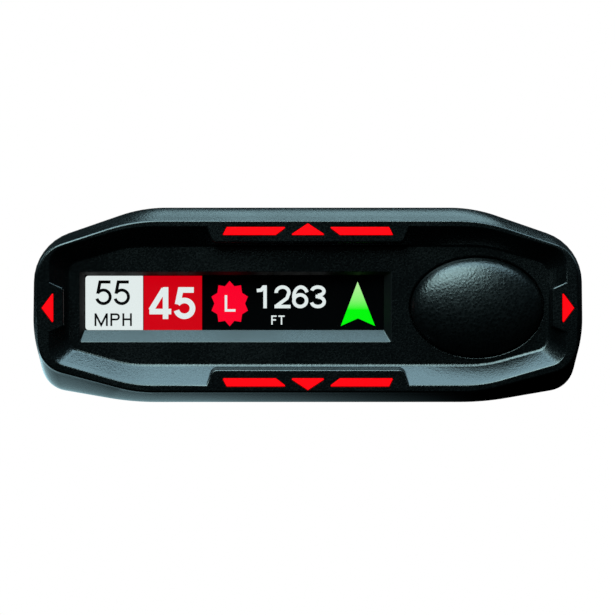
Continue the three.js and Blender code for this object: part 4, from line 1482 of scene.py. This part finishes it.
@dataclass
class TopShell:
    """The upper half of the housing with the key deck, the bracket dock and the speaker grille.

    Attributes:
        casing: What it shares with the bottom shell.
        deck: The key recess seen from above.
        deck_z: Floor of the key recess.
        dock: The dock seen from above.
        dock_z: Floor of the dock.
        speaker: Centre and radius of the grille.
        slot_pitch: Distance between grille slots.
        rows: Grille slots on each side of the middle one.
    """

    casing: Casing = field(default_factory=Casing)
    deck: Outline = Outline.rectangle(-24.6, 24.6, -50.2, -39.8, 2.4, 10)
    deck_z: float = 30.6
    dock: Outline = Outline.rectangle(-14.0, 14.0, -30.0, 6.0, 0.6, 4)
    dock_z: float = 25.6
    speaker: Place = (0.0, 29.6, 10.5)
    slot_pitch: float = 2.6
    rows: int = 3

    def build(self) -> None:
        """Makes the shell and puts it in its node's place."""
        shell = self.casing.tube().join(self._fittings()).common(self.casing.half(1))
        shell = shell.cut(
            FORM.pocket(self.deck, self.deck_z, 0.3, 0.2),
            FORM.pocket(self.dock, self.dock_z, 0.3, 0.15),
            FORM.pocket(MountLatch().hole(), 20.0, 0.2, 0.05),
            Solid.box((-3.4, 3.4), (5.0, 9.2), (25.2, 28.9)),
            self._key_holes(),
            self._grille(),
        )
        bores = [Solid.post(x, y, 1.1, self.casing.split, 22.4) for x, y in self.casing.bosses]
        piece = shell.cut(Solid.gathered(bores)).show("upper_casing", HOUSING_BLACK, Bodies.HOUSING)
        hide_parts("top_shell")

    def _fittings(self) -> Solid:
        """The dock's tray, the deck, the screw cups and the key board's posts, inside the wall."""
        keys = KeyRow()
        tray = Solid.box((-15.8, 15.8), (-31.8, 7.8), (self.dock_z - FORM.wall, 40))
        deck = Solid.box((-25.6, 25.6), (keys.y - 7.4, keys.y + 7.4), (self.deck_z - 1.4, 40))
        cradle = Solid.box((-10.6, 10.6), (9.8, 14.6), (18, 31))
        cradle = cradle.cut(Solid.box((-9.2, 9.2), (5, 20), (19.4, 40)))
        across = (keys.rocker_x - 2, keys.rocker_x + 2)
        ears = [
            Solid.box(across, (keys.y + y - 0.6, keys.y + y + 0.6), (27.0, 30.0)) for y in (-4.2, 4.2)
        ]
        cups = [Solid.post(x, y, 3.0, self.casing.split + 1, 30) for x, y in self.casing.bosses]
        posts = [Solid.post(x, keys.y, 1.6, 26.1, 31) for x in (-27.6, 27.6)]
        return tray.join(deck, cradle, *ears, *cups, *posts).common(self.casing.inside())

    def _key_holes(self) -> Solid:
        """Holes for the four caps in the deck, with eased lips."""
        tools = []
        for shape in KeyRow().holes():
            turns = [k * math.pi / 6 for k in range(4)]
            lip = [
                (self.deck_z - 0.15 * (1 - math.sin(a)), shape.inset(-0.15 * (1 - math.cos(a))))
                for a in turns
            ]
            tools.append(Solid.along_z([(20.0, shape), *lip, (40.0, shape.inset(-0.2))]))
        pin = Ellipse(KeyRow().rocker_x, KeyRow().pivot_z, 0.8, 0.8, 24)
        pin_hole = Solid.along_y([(KeyRow().y - 5.4, pin), (KeyRow().y + 5.4, pin)])
        return Solid.gathered(tools).join(pin_hole)

    def _grille(self) -> Solid:
        """Slots whose lengths fill a circle."""
        x, middle, radius = self.speaker
        tools = []
        for i in range(-self.rows, self.rows + 1):
            y = middle + i * self.slot_pitch
            reach = math.sqrt(radius**2 - (i * self.slot_pitch) ** 2)
            slot = Outline.rectangle(x - reach, x + reach, y - 0.6, y + 0.6, 0.55, 6)
            tools.append(FORM.pocket(slot, 24.0, 0.2, 0.02))
        return Solid.gathered(tools)


@dataclass
class BottomShell:
    """The lower half of the housing with screw holes, side sockets, vents and the label's recess.

    Attributes:
        casing: What it shares with the top shell.
        board_posts: Places of the posts under the main board.
        label: The label's recess seen from above.
        label_depth: How deep the recess is.
        vents: How many slots, their first Y, their pitch and their width.
    """

    casing: Casing = field(default_factory=Casing)
    board_posts: tuple[Point, ...] = ((-27.0, -38.0), (-31.0, 8.0), (27.0, -38.0), (31.0, 8.0))
    label: Outline = Outline.rectangle(-24.0, 24.0, -22.0, 8.0, 2.0, 8)
    label_depth: float = 0.4
    vents: tuple[int, float, float, float] = (6, -22.0, 3.2, 1.4)

    def build(self) -> None:
        """Makes the shell with its blank label."""
        shell = self.casing.tube().common(self.casing.half(-1))
        tall = [Solid.post(x, y, 3.0, 0.5, self.casing.split - 0.4) for x, y in self.casing.bosses]
        short = [Solid.post(x, y, 2.4, 0.5, 4.9) for x, y in self.board_posts]
        shell = shell.join(Solid.gathered(tall + short).common(self.casing.inside()))
        shell = shell.cut(self._bores(), self._label_recess(), *self._side_ports(), self._vents())
        piece = shell.show("lower_casing", HOUSING_BLACK, Bodies.HOUSING)
        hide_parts("bottom_shell")
        sticker = Solid.slab(self.label.inset(0.5), 0.22, self.label_depth, 0.0, 0.06)
        plate = sticker.show("blank_label", LABEL_FOIL, Bodies.HOUSING)

    def _bores(self) -> Solid:
        """Counterbores with eased mouths, and the holes above them."""
        mouth = [(-1.0, 3.4), (0.0, 3.15), (0.12, 2.9), (0.35, 2.8), (2.6, 2.8)]
        hole = [(2.6, 1.3), (17.0, 1.3)]
        tools = [Solid.turned(x, y, mouth + hole, 48) for x, y in self.casing.bosses]
        tools += [Solid.post(x, y, 0.9, 2.0, 6.0, 24) for x, y in self.board_posts]
        return Solid.gathered(tools)

    def _label_recess(self) -> Solid:
        """The shallow recess, its rim eased."""
        steps = ((-1.0, -0.3), (0.0, -0.12), (0.12, 0.0), (self.label_depth, 0.0))
        return Solid.along_z([(z, self.label.inset(d)) for z, d in steps])

    def _side_ports(self) -> list[Solid]:
        """Openings for the power and data sockets on the right."""
        power = Outline.rectangle(-31.4, -20.6, 6.6, 16.3, 0.4, 4)
        data = Outline.rectangle(-13.9, -4.1, 6.55, 10.45, 0.4, 4)
        steps = ((35.0, 0.0), (44.75, 0.0), (45.0, -0.15), (60.0, -0.5))
        return [Solid.along_x([(x, shape.inset(d)) for x, d in steps]) for shape in (power, data)]

    def _vents(self) -> Solid:
        """Upright slots in the left wall."""
        count, first, pitch, width = self.vents
        steps = ((-60.0, -0.5), (-45.1, -0.25), (-44.8, 0.0), (-40.0, 0.0))
        tools = []
        for i in range(count):
            y = first + i * pitch
            slot = Outline.rectangle(y, y + width, 7.5, 13.0, 0.6, 6)
            tools.append(Solid.along_x([(x, slot.inset(d)) for x, d in steps]))
        return Solid.gathered(tools)


@dataclass
class RearEnd:
    """The rear cover and the dark window over the laser optics.

    Attributes:
        front: Front edge of the cover.
        rear: Rear plane.
        edge: Radius round the rear plane.
        eye_z: Height of the window's middle.
        eye: Half width and half height of the window.
    """

    front: float = 44.3
    rear: float = 65.0
    edge: float = 1.1
    eye_z: float = 13.0
    eye: Point = (19.0, 5.4)

    def build(self) -> None:
        """Makes the cover and its window."""
        cover = FORM.solid(self.front, self.rear, 0.0, (0.25, self.edge), 1.5)
        cover = cover.cut(FORM.solid(self.front - 1, self.rear - 2.4, FORM.wall, (0, 0), 1.5))
        lip = FORM.solid(41.4, 46.0, FORM.wall + 0.3).cut(FORM.solid(40.0, 47.0, FORM.wall + 1.5))
        root = FORM.solid(self.front + 0.3, 46.0, FORM.wall - 0.3)
        root = root.cut(FORM.solid(43.0, 47.0, FORM.wall + 0.7))
        seat = self._through_eye(((-1.8, 0.25), (-0.3, 0.25), (-0.05, 0.4), (1.0, 0.9)))
        through = self._through_eye(((-4.0, -1.2), (-1.0, -1.2)))
        cover = cover.join(root, lip).cut(seat, through)
        piece = cover.show("tail_cover", HOUSING_BLACK, Bodies.HOUSING)
        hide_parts("rear_cover")
        pane = self._through_eye(((-1.6, 0.0), (-0.4, 0.0), (-0.2, -0.08), (-0.12, -0.28)))
        window = pane.show("laser_glass", INFRARED, Bodies.HOUSING)
        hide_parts("laser_window")

    def _through_eye(self, steps: tuple[Point, ...]) -> Solid:
        """A solid with the window's outline.

        Args:
            steps: Depths from the rear plane, each with how far the outline grows there.

        Returns:
            The solid.
        """
        return Solid.along_y([(self.rear + y, self._eye(grow)) for y, grow in steps])

    def _eye(self, grow: float) -> Outline:
        """The six-sided window outline, grown or shrunk."""
        width, height = self.eye
        a, b, c = width + grow, height + grow, width - 6 + grow * 0.6
        z = self.eye_z
        corners = ((c, z - b, 1.0), (a, z, 1.0), (c, z + b, 1.0))
        return Outline.mirrored(corners, 6)


# ---------------------------------------------------------------- keys, latch and screws


@dataclass
class KeyRow:
    """The rocker and the three keys on the deck.

    Attributes:
        y: Middle of the row.
        half_y: Half the depth of a cap.
        rocker_x: Middle of the volume rocker.
        rocker_width: Its width.
        key_x: Middles of the menu, brightness and power keys.
        key_width: Width of each.
        top_z: Height of the caps.
        pivot_z: Height of the rocker's pin.
    """

    y: float = -45.0
    half_y: float = 3.6
    rocker_x: float = -14.55
    rocker_width: float = 18.0
    key_x: tuple[float, float, float] = (-0.05, 9.65, 19.35)
    key_width: float = 8.4
    top_z: float = 31.18
    pivot_z: float = 28.4

    def holes(self) -> list[Outline]:
        """The holes in the deck, seen from above."""
        rocker = self._cap(self.rocker_x, self.rocker_width, -0.35)
        return [rocker, *[self._cap(x, self.key_width, -0.25) for x in self.key_x]]

    def build(self) -> None:
        """Makes the rocker, the keys and their printed signs."""
        self._rocker()
        makers = {
            "menu_key": (Bodies.MENU, self._bars),
            "brightness_key": (Bodies.BRIGHTNESS, self._sun),
            "power_key": (Bodies.POWER, self._power),
        }
        for x, (node, (body, sign)) in zip(self.key_x, makers.items()):
            cap = Solid.slab(self._cap(x, self.key_width), 28.6, self.top_z, 0.45)
            flange = Solid.slab(self._cap(x, self.key_width, -0.5), 28.1, 28.9)
            solid = cap.join(flange, Solid.post(x, self.y, 1.2, 27.95, 28.5))
            piece = solid.show(node.replace("_key", "_cap"), KEY_BLACK, body)
            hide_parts(node)
            self._print(node.replace("_key", "_sign"), sign(x), body)

    def _cap(self, x: float, width: float, inset: float = 0.0) -> Outline:
        """A cap seen from above."""
        half = width / 2
        shape = Outline.rectangle(x - half, x + half, self.y - self.half_y, self.y + self.half_y, 1.2, 8)
        return shape.inset(inset)

    def _rocker(self) -> None:
        """The volume rocker, dished across its middle."""
        x = self.rocker_x
        cap = Solid.slab(self._cap(x, self.rocker_width), 29.0, self.top_z, 0.45)
        web = Solid.box((x - 1.6, x + 1.6), (self.y - 3, self.y + 3), (27.4, 29.6))
        posts = [Solid.post(x + side * 6, self.y, 1.0, 27.9, 29.6) for side in (-1, 1)]
        dish = Ellipse(x, self.top_z + 8 - 0.3, 8, 8, 160)
        bore = Ellipse(x, self.pivot_z, 0.75, 0.75, 24)
        solid = cap.cut(Solid.along_y([(self.y - 6, dish), (self.y + 6, dish)])).join(web, *posts)
        solid = solid.cut(Solid.along_y([(self.y - 5, bore), (self.y + 5, bore)]))
        piece = solid.show("volume_cap", KEY_BLACK, Bodies.VOLUME)
        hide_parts("volume_rocker")
        minus = self._bar(x - 6, self.y, 2.4, 0.5)
        plus = self._bar(x + 6, self.y, 2.4, 0.5).join(self._bar(x + 6, self.y, 0.5, 2.4))
        self._print("volume_signs", Solid.gathered([minus, plus]), Bodies.VOLUME)

    def _bar(self, x: float, y: float, width: float, depth: float) -> Solid:
        """One printed bar, lying on a cap."""
        shape = Outline.rectangle(x - width / 2, x + width / 2, y - depth / 2, y + depth / 2, 0.12, 3)
        return Solid.slab(shape, self.top_z - 0.01, self.top_z + 0.015)

    def _ring(self, x: float, y: float, outer: float, inner: float) -> Solid:
        """A printed ring."""
        low, high = self.top_z - 0.01, self.top_z + 0.015
        return Solid.post(x, y, outer, low, high, 48).cut(Solid.post(x, y, inner, low - 1, high + 1, 48))

    def _bars(self, x: float) -> Solid:
        """Three bars: the menu."""
        return Solid.gathered([self._bar(x, self.y + step * 0.95, 2.7, 0.42) for step in (-1, 0, 1)])

    def _sun(self, x: float) -> Solid:
        """A disc with eight rays: brightness."""
        low, high = self.top_z - 0.01, self.top_z + 0.015
        parts = [self._ring(x, self.y, 0.72, 0.36)]
        for k in range(8):
            angle = math.pi / 4 * k
            across = (-math.sin(angle) * 0.15, math.cos(angle) * 0.15)
            ends = [(math.cos(angle) * r, math.sin(angle) * r) for r in (1.08, 1.62)]
            (a, b), (c, d) = ends
            points = [
                (x + a - across[0], self.y + b - across[1]),
                (x + c - across[0], self.y + d - across[1]),
                (x + c + across[0], self.y + d + across[1]),
                (x + a + across[0], self.y + b + across[1]),
            ]
            parts.append(Solid.loft([[(px, py, z) for px, py in points] for z in (low, high)]))
        return Solid.gathered(parts)

    def _power(self, x: float) -> Solid:
        """A broken ring with a bar: power."""
        gap = Solid.box((x - 0.55, x + 0.55), (self.y, self.y + 3), (self.top_z - 1, self.top_z + 1))
        ring = self._ring(x, self.y - 0.1, 1.4, 1.02).cut(gap)
        return Solid.gathered([ring, self._bar(x, self.y + 0.85, 0.38, 1.5)])

    def _print(self, name: str, solid: Solid, body: Bodies) -> None:
        """Prints a sign on a cap."""
        solid.show(name, PRINT_WHITE, body)


@dataclass
class MountLatch:
    """The sprung pad that frees the bracket's foot.

    Attributes:
        pad: The pad seen from above.
        top_z: Height of the pad.
        grooves: How many finger grooves it has.
    """

    pad: Outline = Outline.rectangle(-8.0, 8.0, 8.2, 16.2, 1.6, 8)
    top_z: float = 29.0
    grooves: int = 4

    def hole(self) -> Outline:
        """The hole in the top shell."""
        return self.pad.inset(-0.25)

    def build(self) -> None:
        """Makes the pad, its flange, nose and spring seat."""
        solid = Solid.slab(self.pad, 26.8, self.top_z, 0.5)
        flange = Solid.slab(Outline.rectangle(-8.9, 8.9, 8.5, 17.1, 1.6, 8), 26.0, 27.4)
        nose = Solid.box((-3, 3), (5.0, 9.2), (27.2, 28.6))
        ramp = Solid.loft(
            [[(x, 4.5, 28.8), (x, 4.5, 27.7), (x, 6.4, 28.8)] for x in (-4, 4)],
        )
        seat = Solid.post(0, 12.2, 1.6, 24.8, 26.4)
        tools = []
        for k in range(self.grooves):
            y = 12.2 + (k - (self.grooves - 1) / 2) * 1.5
            groove = Ellipse(y, self.top_z + 0.3, 0.62, 0.62, 32)
            tools.append(Solid.along_x([(-6.2, groove), (6.2, groove)]))
        solid = solid.join(flange, nose.cut(ramp), seat).cut(Solid.gathered(tools))
        piece = solid.show("latch_pad", KEY_BLACK, Bodies.LATCH)
        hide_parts("mount_latch")


@dataclass
class LatchSpring:
    """The coil spring under the latch's pad; the real one shortens as the pad goes down, this one stays at
    its rest length.

    Attributes:
        y: Centre of the coil.
        radius: From the coil's axis to the middle of its wire.
        wire: Wire radius.
        turns: Number of turns.
        low: Height of the coil's first ring of wire.
        high: Height of its last.
        travel: How far the pad presses it; not used.
    """

    y: float = 12.2
    radius: float = 2.5
    wire: float = 0.35
    turns: float = 4.5
    low: float = 19.9
    high: float = 25.5
    travel: float = 1.6

    def build(self) -> None:
        """Makes the coil."""
        steps = round(self.turns * 20)
        piece = Solid.loft([self._ring(k / steps) for k in range(steps + 1)]).show(
            "latch_coil", PLAIN_STEEL, Bodies.HOUSING
        )
        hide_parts("latch_spring")
        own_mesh(piece)

    def _ring(self, t: float) -> list[Place]:
        """The wire's section at a share of its length."""
        angle = math.tau * self.turns * t
        middle = self.low + (self.high - self.low) * t
        ring = []
        for k in range(10):
            turn = math.tau * k / 10
            out = self.radius + self.wire * math.cos(turn)
            z = middle + self.wire * math.sin(turn)
            ring.append((out * math.cos(angle), self.y + out * math.sin(angle), z))
        return ring


@dataclass
class HousingScrews:
    """The four black pan-head screws under the housing.

    Attributes:
        head_z: Outer face of the heads.
        seat_z: Where the heads bear.
        end_z: End of the shanks.
        head: Head radius.
    """

    head_z: float = 1.5
    seat_z: float = 2.4
    end_z: float = 21.6
    head: float = 2.5

    def build(self) -> None:
        """Makes each screw with a cross recess."""
        rise = self.seat_z - self.head_z
        turns = [k * math.pi / 12 for k in range(6)]
        dome = [
            (self.head_z + 0.7 * rise * (1 - math.cos(a)), self.head * (0.62 + 0.38 * math.sin(a)))
            for a in turns
        ]
        shank = [(self.seat_z, self.head), (self.seat_z, 0.95), (self.end_z - 0.6, 0.95), (self.end_z, 0.4)]
        recess = (self.head_z - 1, self.head_z + 0.8)
        for i, (x, y) in enumerate(Casing().bosses):
            arms = [
                Solid.box((x - a, x + a), (y - b, y + b), recess) for a, b in ((1.35, 0.28), (0.28, 1.35))
            ]
            solid = Solid.turned(x, y, dome + shank, 40).cut(*arms)
            piece = solid.show("casing_screw_" + str(i + 1), BLACK_STEEL, Bodies.HOUSING)
            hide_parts("housing_screw_" + str(i + 1))


@dataclass
class StrikePlate:
    """The steel plate on the dock's floor."""

    shape: Outline = Outline.rectangle(-11.0, 11.0, -26.0, 0.0, 2.0, 10)
    low: float = 25.7
    high: float = 26.7

    def build(self) -> None:
        """Makes the plate with rolled edges."""
        plate = Solid.slab(self.shape, self.low, self.high, 0.25)
        piece = plate.show("dock_strike", PLAIN_STEEL, Bodies.HOUSING)
        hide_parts("strike_plate")


# ---------------------------------------------------------------- the frame's own pieces


def dress_nodes(frame: dict) -> None:
    """Gives every CAD node that stays in view the finish of its slot.

    Args:
        frame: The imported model, as loaded.
    """
    slots = {entry["node"]: entry["material_slot"] for entry in frame["record"]["subparts"]}
    for name, piece in frame["nodes"].items():
        finish = NODE_FINISHES[slots[name]]
        piece.data.materials.clear()
        piece.data.materials.append(finish.material())


# ---------------------------------------------------------------- studio


@dataclass(frozen=True)
class Softbox:
    """A soft rectangular light.

    Attributes:
        name: The light's name.
        azimuth: Its direction from the face, in degrees from straight behind, clockwise from above.
        elevation: Its height above the horizon, in degrees.
        width: Its width, in metres.
        height: Its height, in metres.
        radiance: Its brightness.
        distance: How far it hangs from the face, in metres.
        tint: Its colour.
    """

    name: str
    azimuth: float
    elevation: float
    width: float
    height: float
    radiance: float
    distance: float = 1.0
    tint: Colour = (0.55, 0.9, 1.0)


@dataclass(frozen=True)
class FloorGlow:
    """The soft light that the floor throws up under the front edge.

    Attributes:
        shift: Offset of its middle, in scaled metres.
        scale: Scaled metres in a metre.
        fade: Where along Y it starts and where it is at its full strength, in metres.
        strength: Its brightness.
        tint: Its colour.
    """

    shift: Place = (0.66, 0.3, 0.0)
    scale: float = 10.0
    fade: Point = (-0.0625, -0.06)
    strength: float = 3.4
    tint: Colour = (0.55, 0.9, 1.0)


@dataclass
class Studio:
    """Floor, background, lights and camera.

    Attributes:
        distance: From the camera to the housing's widest section, in metres.
        width: Width that the picture takes in at that section, in metres.
        elevation: The camera's height above the horizon, in degrees.
        aim: The point that the picture is centred on, in metres.
        face: The point that the softboxes face, in metres.
        surround: Brightness of the background as a light.
        surround_tint: Its colour as a light.
        floor_z: Height of the floor, in metres.
        floor_half: Half the floor's side, in metres.
        glow: What the floor throws up.
        softboxes: The lights.
    """

    distance: float = 1.2
    width: float = 0.10121
    elevation: float = 2.0
    aim: Place = (-0.00006, -0.057, 0.01556)
    face: Place = (0.0, -0.06, 0.016)
    surround: float = 0.03
    surround_tint: Colour = (0.6, 0.9, 1.0)
    floor_z: float = -0.0002
    floor_half: float = 20.0
    glow: FloorGlow = FloorGlow()
    softboxes: tuple[Softbox, ...] = (
        Softbox("overhead", 178.0, 74.0, 1.1, 0.55, 7.4, tint=(0.54, 0.9, 1.05)),
        Softbox("front_left", 202.0, 43.0, 0.68, 0.62, 12.5, tint=(0.6, 0.92, 0.94)),
        Softbox("behind", 7.0, 54.0, 0.4, 0.46, 2.9),
        Softbox("rear_left", 300.0, 32.0, 0.7, 0.6, 2.0),
        Softbox("rear_right", 66.0, 36.0, 0.6, 0.6, 2.0),
    )

    def build(self) -> None:
        """Sets up the studio round the detector."""
        self._camera()
        self._world()
        self._floor()
        for softbox in self.softboxes:
            self._hang(softbox)

    def _camera(self) -> None:
        """A long lens, nearly level with the face."""
        data = bpy.data.cameras.new("camera")
        data.sensor_width = 36.0
        data.lens = 36.0 * self.distance / self.width
        data.clip_end = 100.0
        camera = bpy.data.objects.new("camera", data)
        bpy.context.scene.collection.objects.link(camera)
        rise = math.radians(self.elevation)
        aim = Vector(self.aim)
        camera.location = aim + Vector((0, -math.cos(rise), math.sin(rise))) * self.distance
        camera.rotation_euler = (math.radians(90) - rise, 0, 0)
        bpy.context.scene.camera = camera

    def _world(self) -> None:
        """White where it is seen, dim where it lights."""
        world = bpy.data.worlds.new("studio")
        world.use_nodes = True
        tree = world.node_tree
        tree.nodes.clear()
        output = tree.nodes.new("ShaderNodeOutputWorld")
        mix = tree.nodes.new("ShaderNodeMixShader")
        path = tree.nodes.new("ShaderNodeLightPath")
        dim = tree.nodes.new("ShaderNodeBackground")
        dim.inputs["Color"].default_value = (*self.surround_tint, 1.0)
        dim.inputs["Strength"].default_value = self.surround
        white = tree.nodes.new("ShaderNodeBackground")
        white.inputs["Color"].default_value = (1.0, 1.0, 1.0, 1.0)
        tree.links.new(path.outputs["Is Camera Ray"], mix.inputs[0])
        tree.links.new(dim.outputs[0], mix.inputs[1])
        tree.links.new(white.outputs[0], mix.inputs[2])
        tree.links.new(mix.outputs[0], output.inputs["Surface"])
        bpy.context.scene.world = world
        bpy.context.scene.view_settings.view_transform = "Standard"

    def _floor(self) -> None:
        """A flat floor just under the detector."""
        mesh = bpy.data.meshes.new("floor")
        half = self.floor_half
        corners = [(-half, -half, 0), (half, -half, 0), (half, half, 0), (-half, half, 0)]
        mesh.from_pydata(corners, [], [(0, 1, 2, 3)])
        mesh.materials.append(self._floor_finish())
        floor = bpy.data.objects.new("floor", mesh)
        bpy.context.scene.collection.objects.link(floor)
        floor.location.z = self.floor_z

    def _floor_finish(self) -> bpy.types.Material:
        """White where it is seen, and a soft glow under the front edge where it lights."""
        nodes = Nodes("pale_floor")
        place = nodes.add("ShaderNodeTexCoord")
        spread = nodes.add("ShaderNodeMapping")
        spread.inputs["Location"].default_value = self.glow.shift
        spread.inputs["Scale"].default_value = (self.glow.scale,) * 3
        nodes.tree.links.new(place.outputs["Object"], spread.inputs["Vector"])
        pool = nodes.add("ShaderNodeTexGradient")
        pool.gradient_type = "QUADRATIC_SPHERE"
        nodes.tree.links.new(spread.outputs["Vector"], pool.inputs["Vector"])
        glow = nodes.add("ShaderNodeEmission")
        glow.inputs["Color"].default_value = (*self.glow.tint, 1.0)
        split = nodes.add("ShaderNodeSeparateXYZ")
        nodes.tree.links.new(place.outputs["Object"], split.inputs[0])
        under = nodes.spread(split.outputs["Y"], 0.0, 1.0, *self.glow.fade)
        share = nodes.math("MULTIPLY", pool.outputs["Fac"], under)
        strength = nodes.math("MULTIPLY", share, self.glow.strength)
        nodes.tree.links.new(strength, glow.inputs["Strength"])
        bright = nodes.add("ShaderNodeEmission")
        bright.inputs["Strength"].default_value = 1.0
        path = nodes.add("ShaderNodeLightPath")
        mix = nodes.add("ShaderNodeMixShader")
        nodes.tree.links.new(path.outputs["Is Camera Ray"], mix.inputs[0])
        nodes.tree.links.new(glow.outputs[0], mix.inputs[1])
        nodes.tree.links.new(bright.outputs[0], mix.inputs[2])
        return nodes.finish_with(mix)

    def _hang(self, softbox: Softbox) -> None:
        """Hangs one soft light that faces the detector's front.

        Args:
            softbox: Where it hangs and how bright it is.
        """
        around = math.radians(softbox.azimuth)
        rise = math.radians(softbox.elevation)
        level = math.cos(rise)
        towards = Vector((level * math.sin(around), level * math.cos(around), math.sin(rise)))
        data = bpy.data.lights.new(softbox.name, "AREA")
        data.shape = "RECTANGLE"
        data.size = softbox.width
        data.size_y = softbox.height
        data.energy = softbox.radiance * math.pi * softbox.width * softbox.height
        data.color = softbox.tint
        light = bpy.data.objects.new(softbox.name, data)
        light.location = Vector(self.face) + towards * softbox.distance
        light.rotation_euler = (-towards).to_track_quat("-Z", "Y").to_euler()
        light.visible_camera = False
        bpy.context.scene.collection.objects.link(light)


def main() -> None:
    """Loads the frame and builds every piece."""
    logging.basicConfig(level=logging.INFO, format="%(name)s: %(message)s")
    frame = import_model()
    Studio().build()
    dress_nodes(frame)
    makers = (
        FrontBezel(),
        LightPipes(),
        MuteDome(),
        Readout(),
        TopShell(),
        BottomShell(),
        RearEnd(),
        KeyRow(),
        MountLatch(),
        LatchSpring(),
        HousingScrews(),
        StrikePlate(),
    )
    for maker in makers:
        maker.build()
        log.info("built %s", type(maker).__name__)


if __name__ == "__main__":
    main()
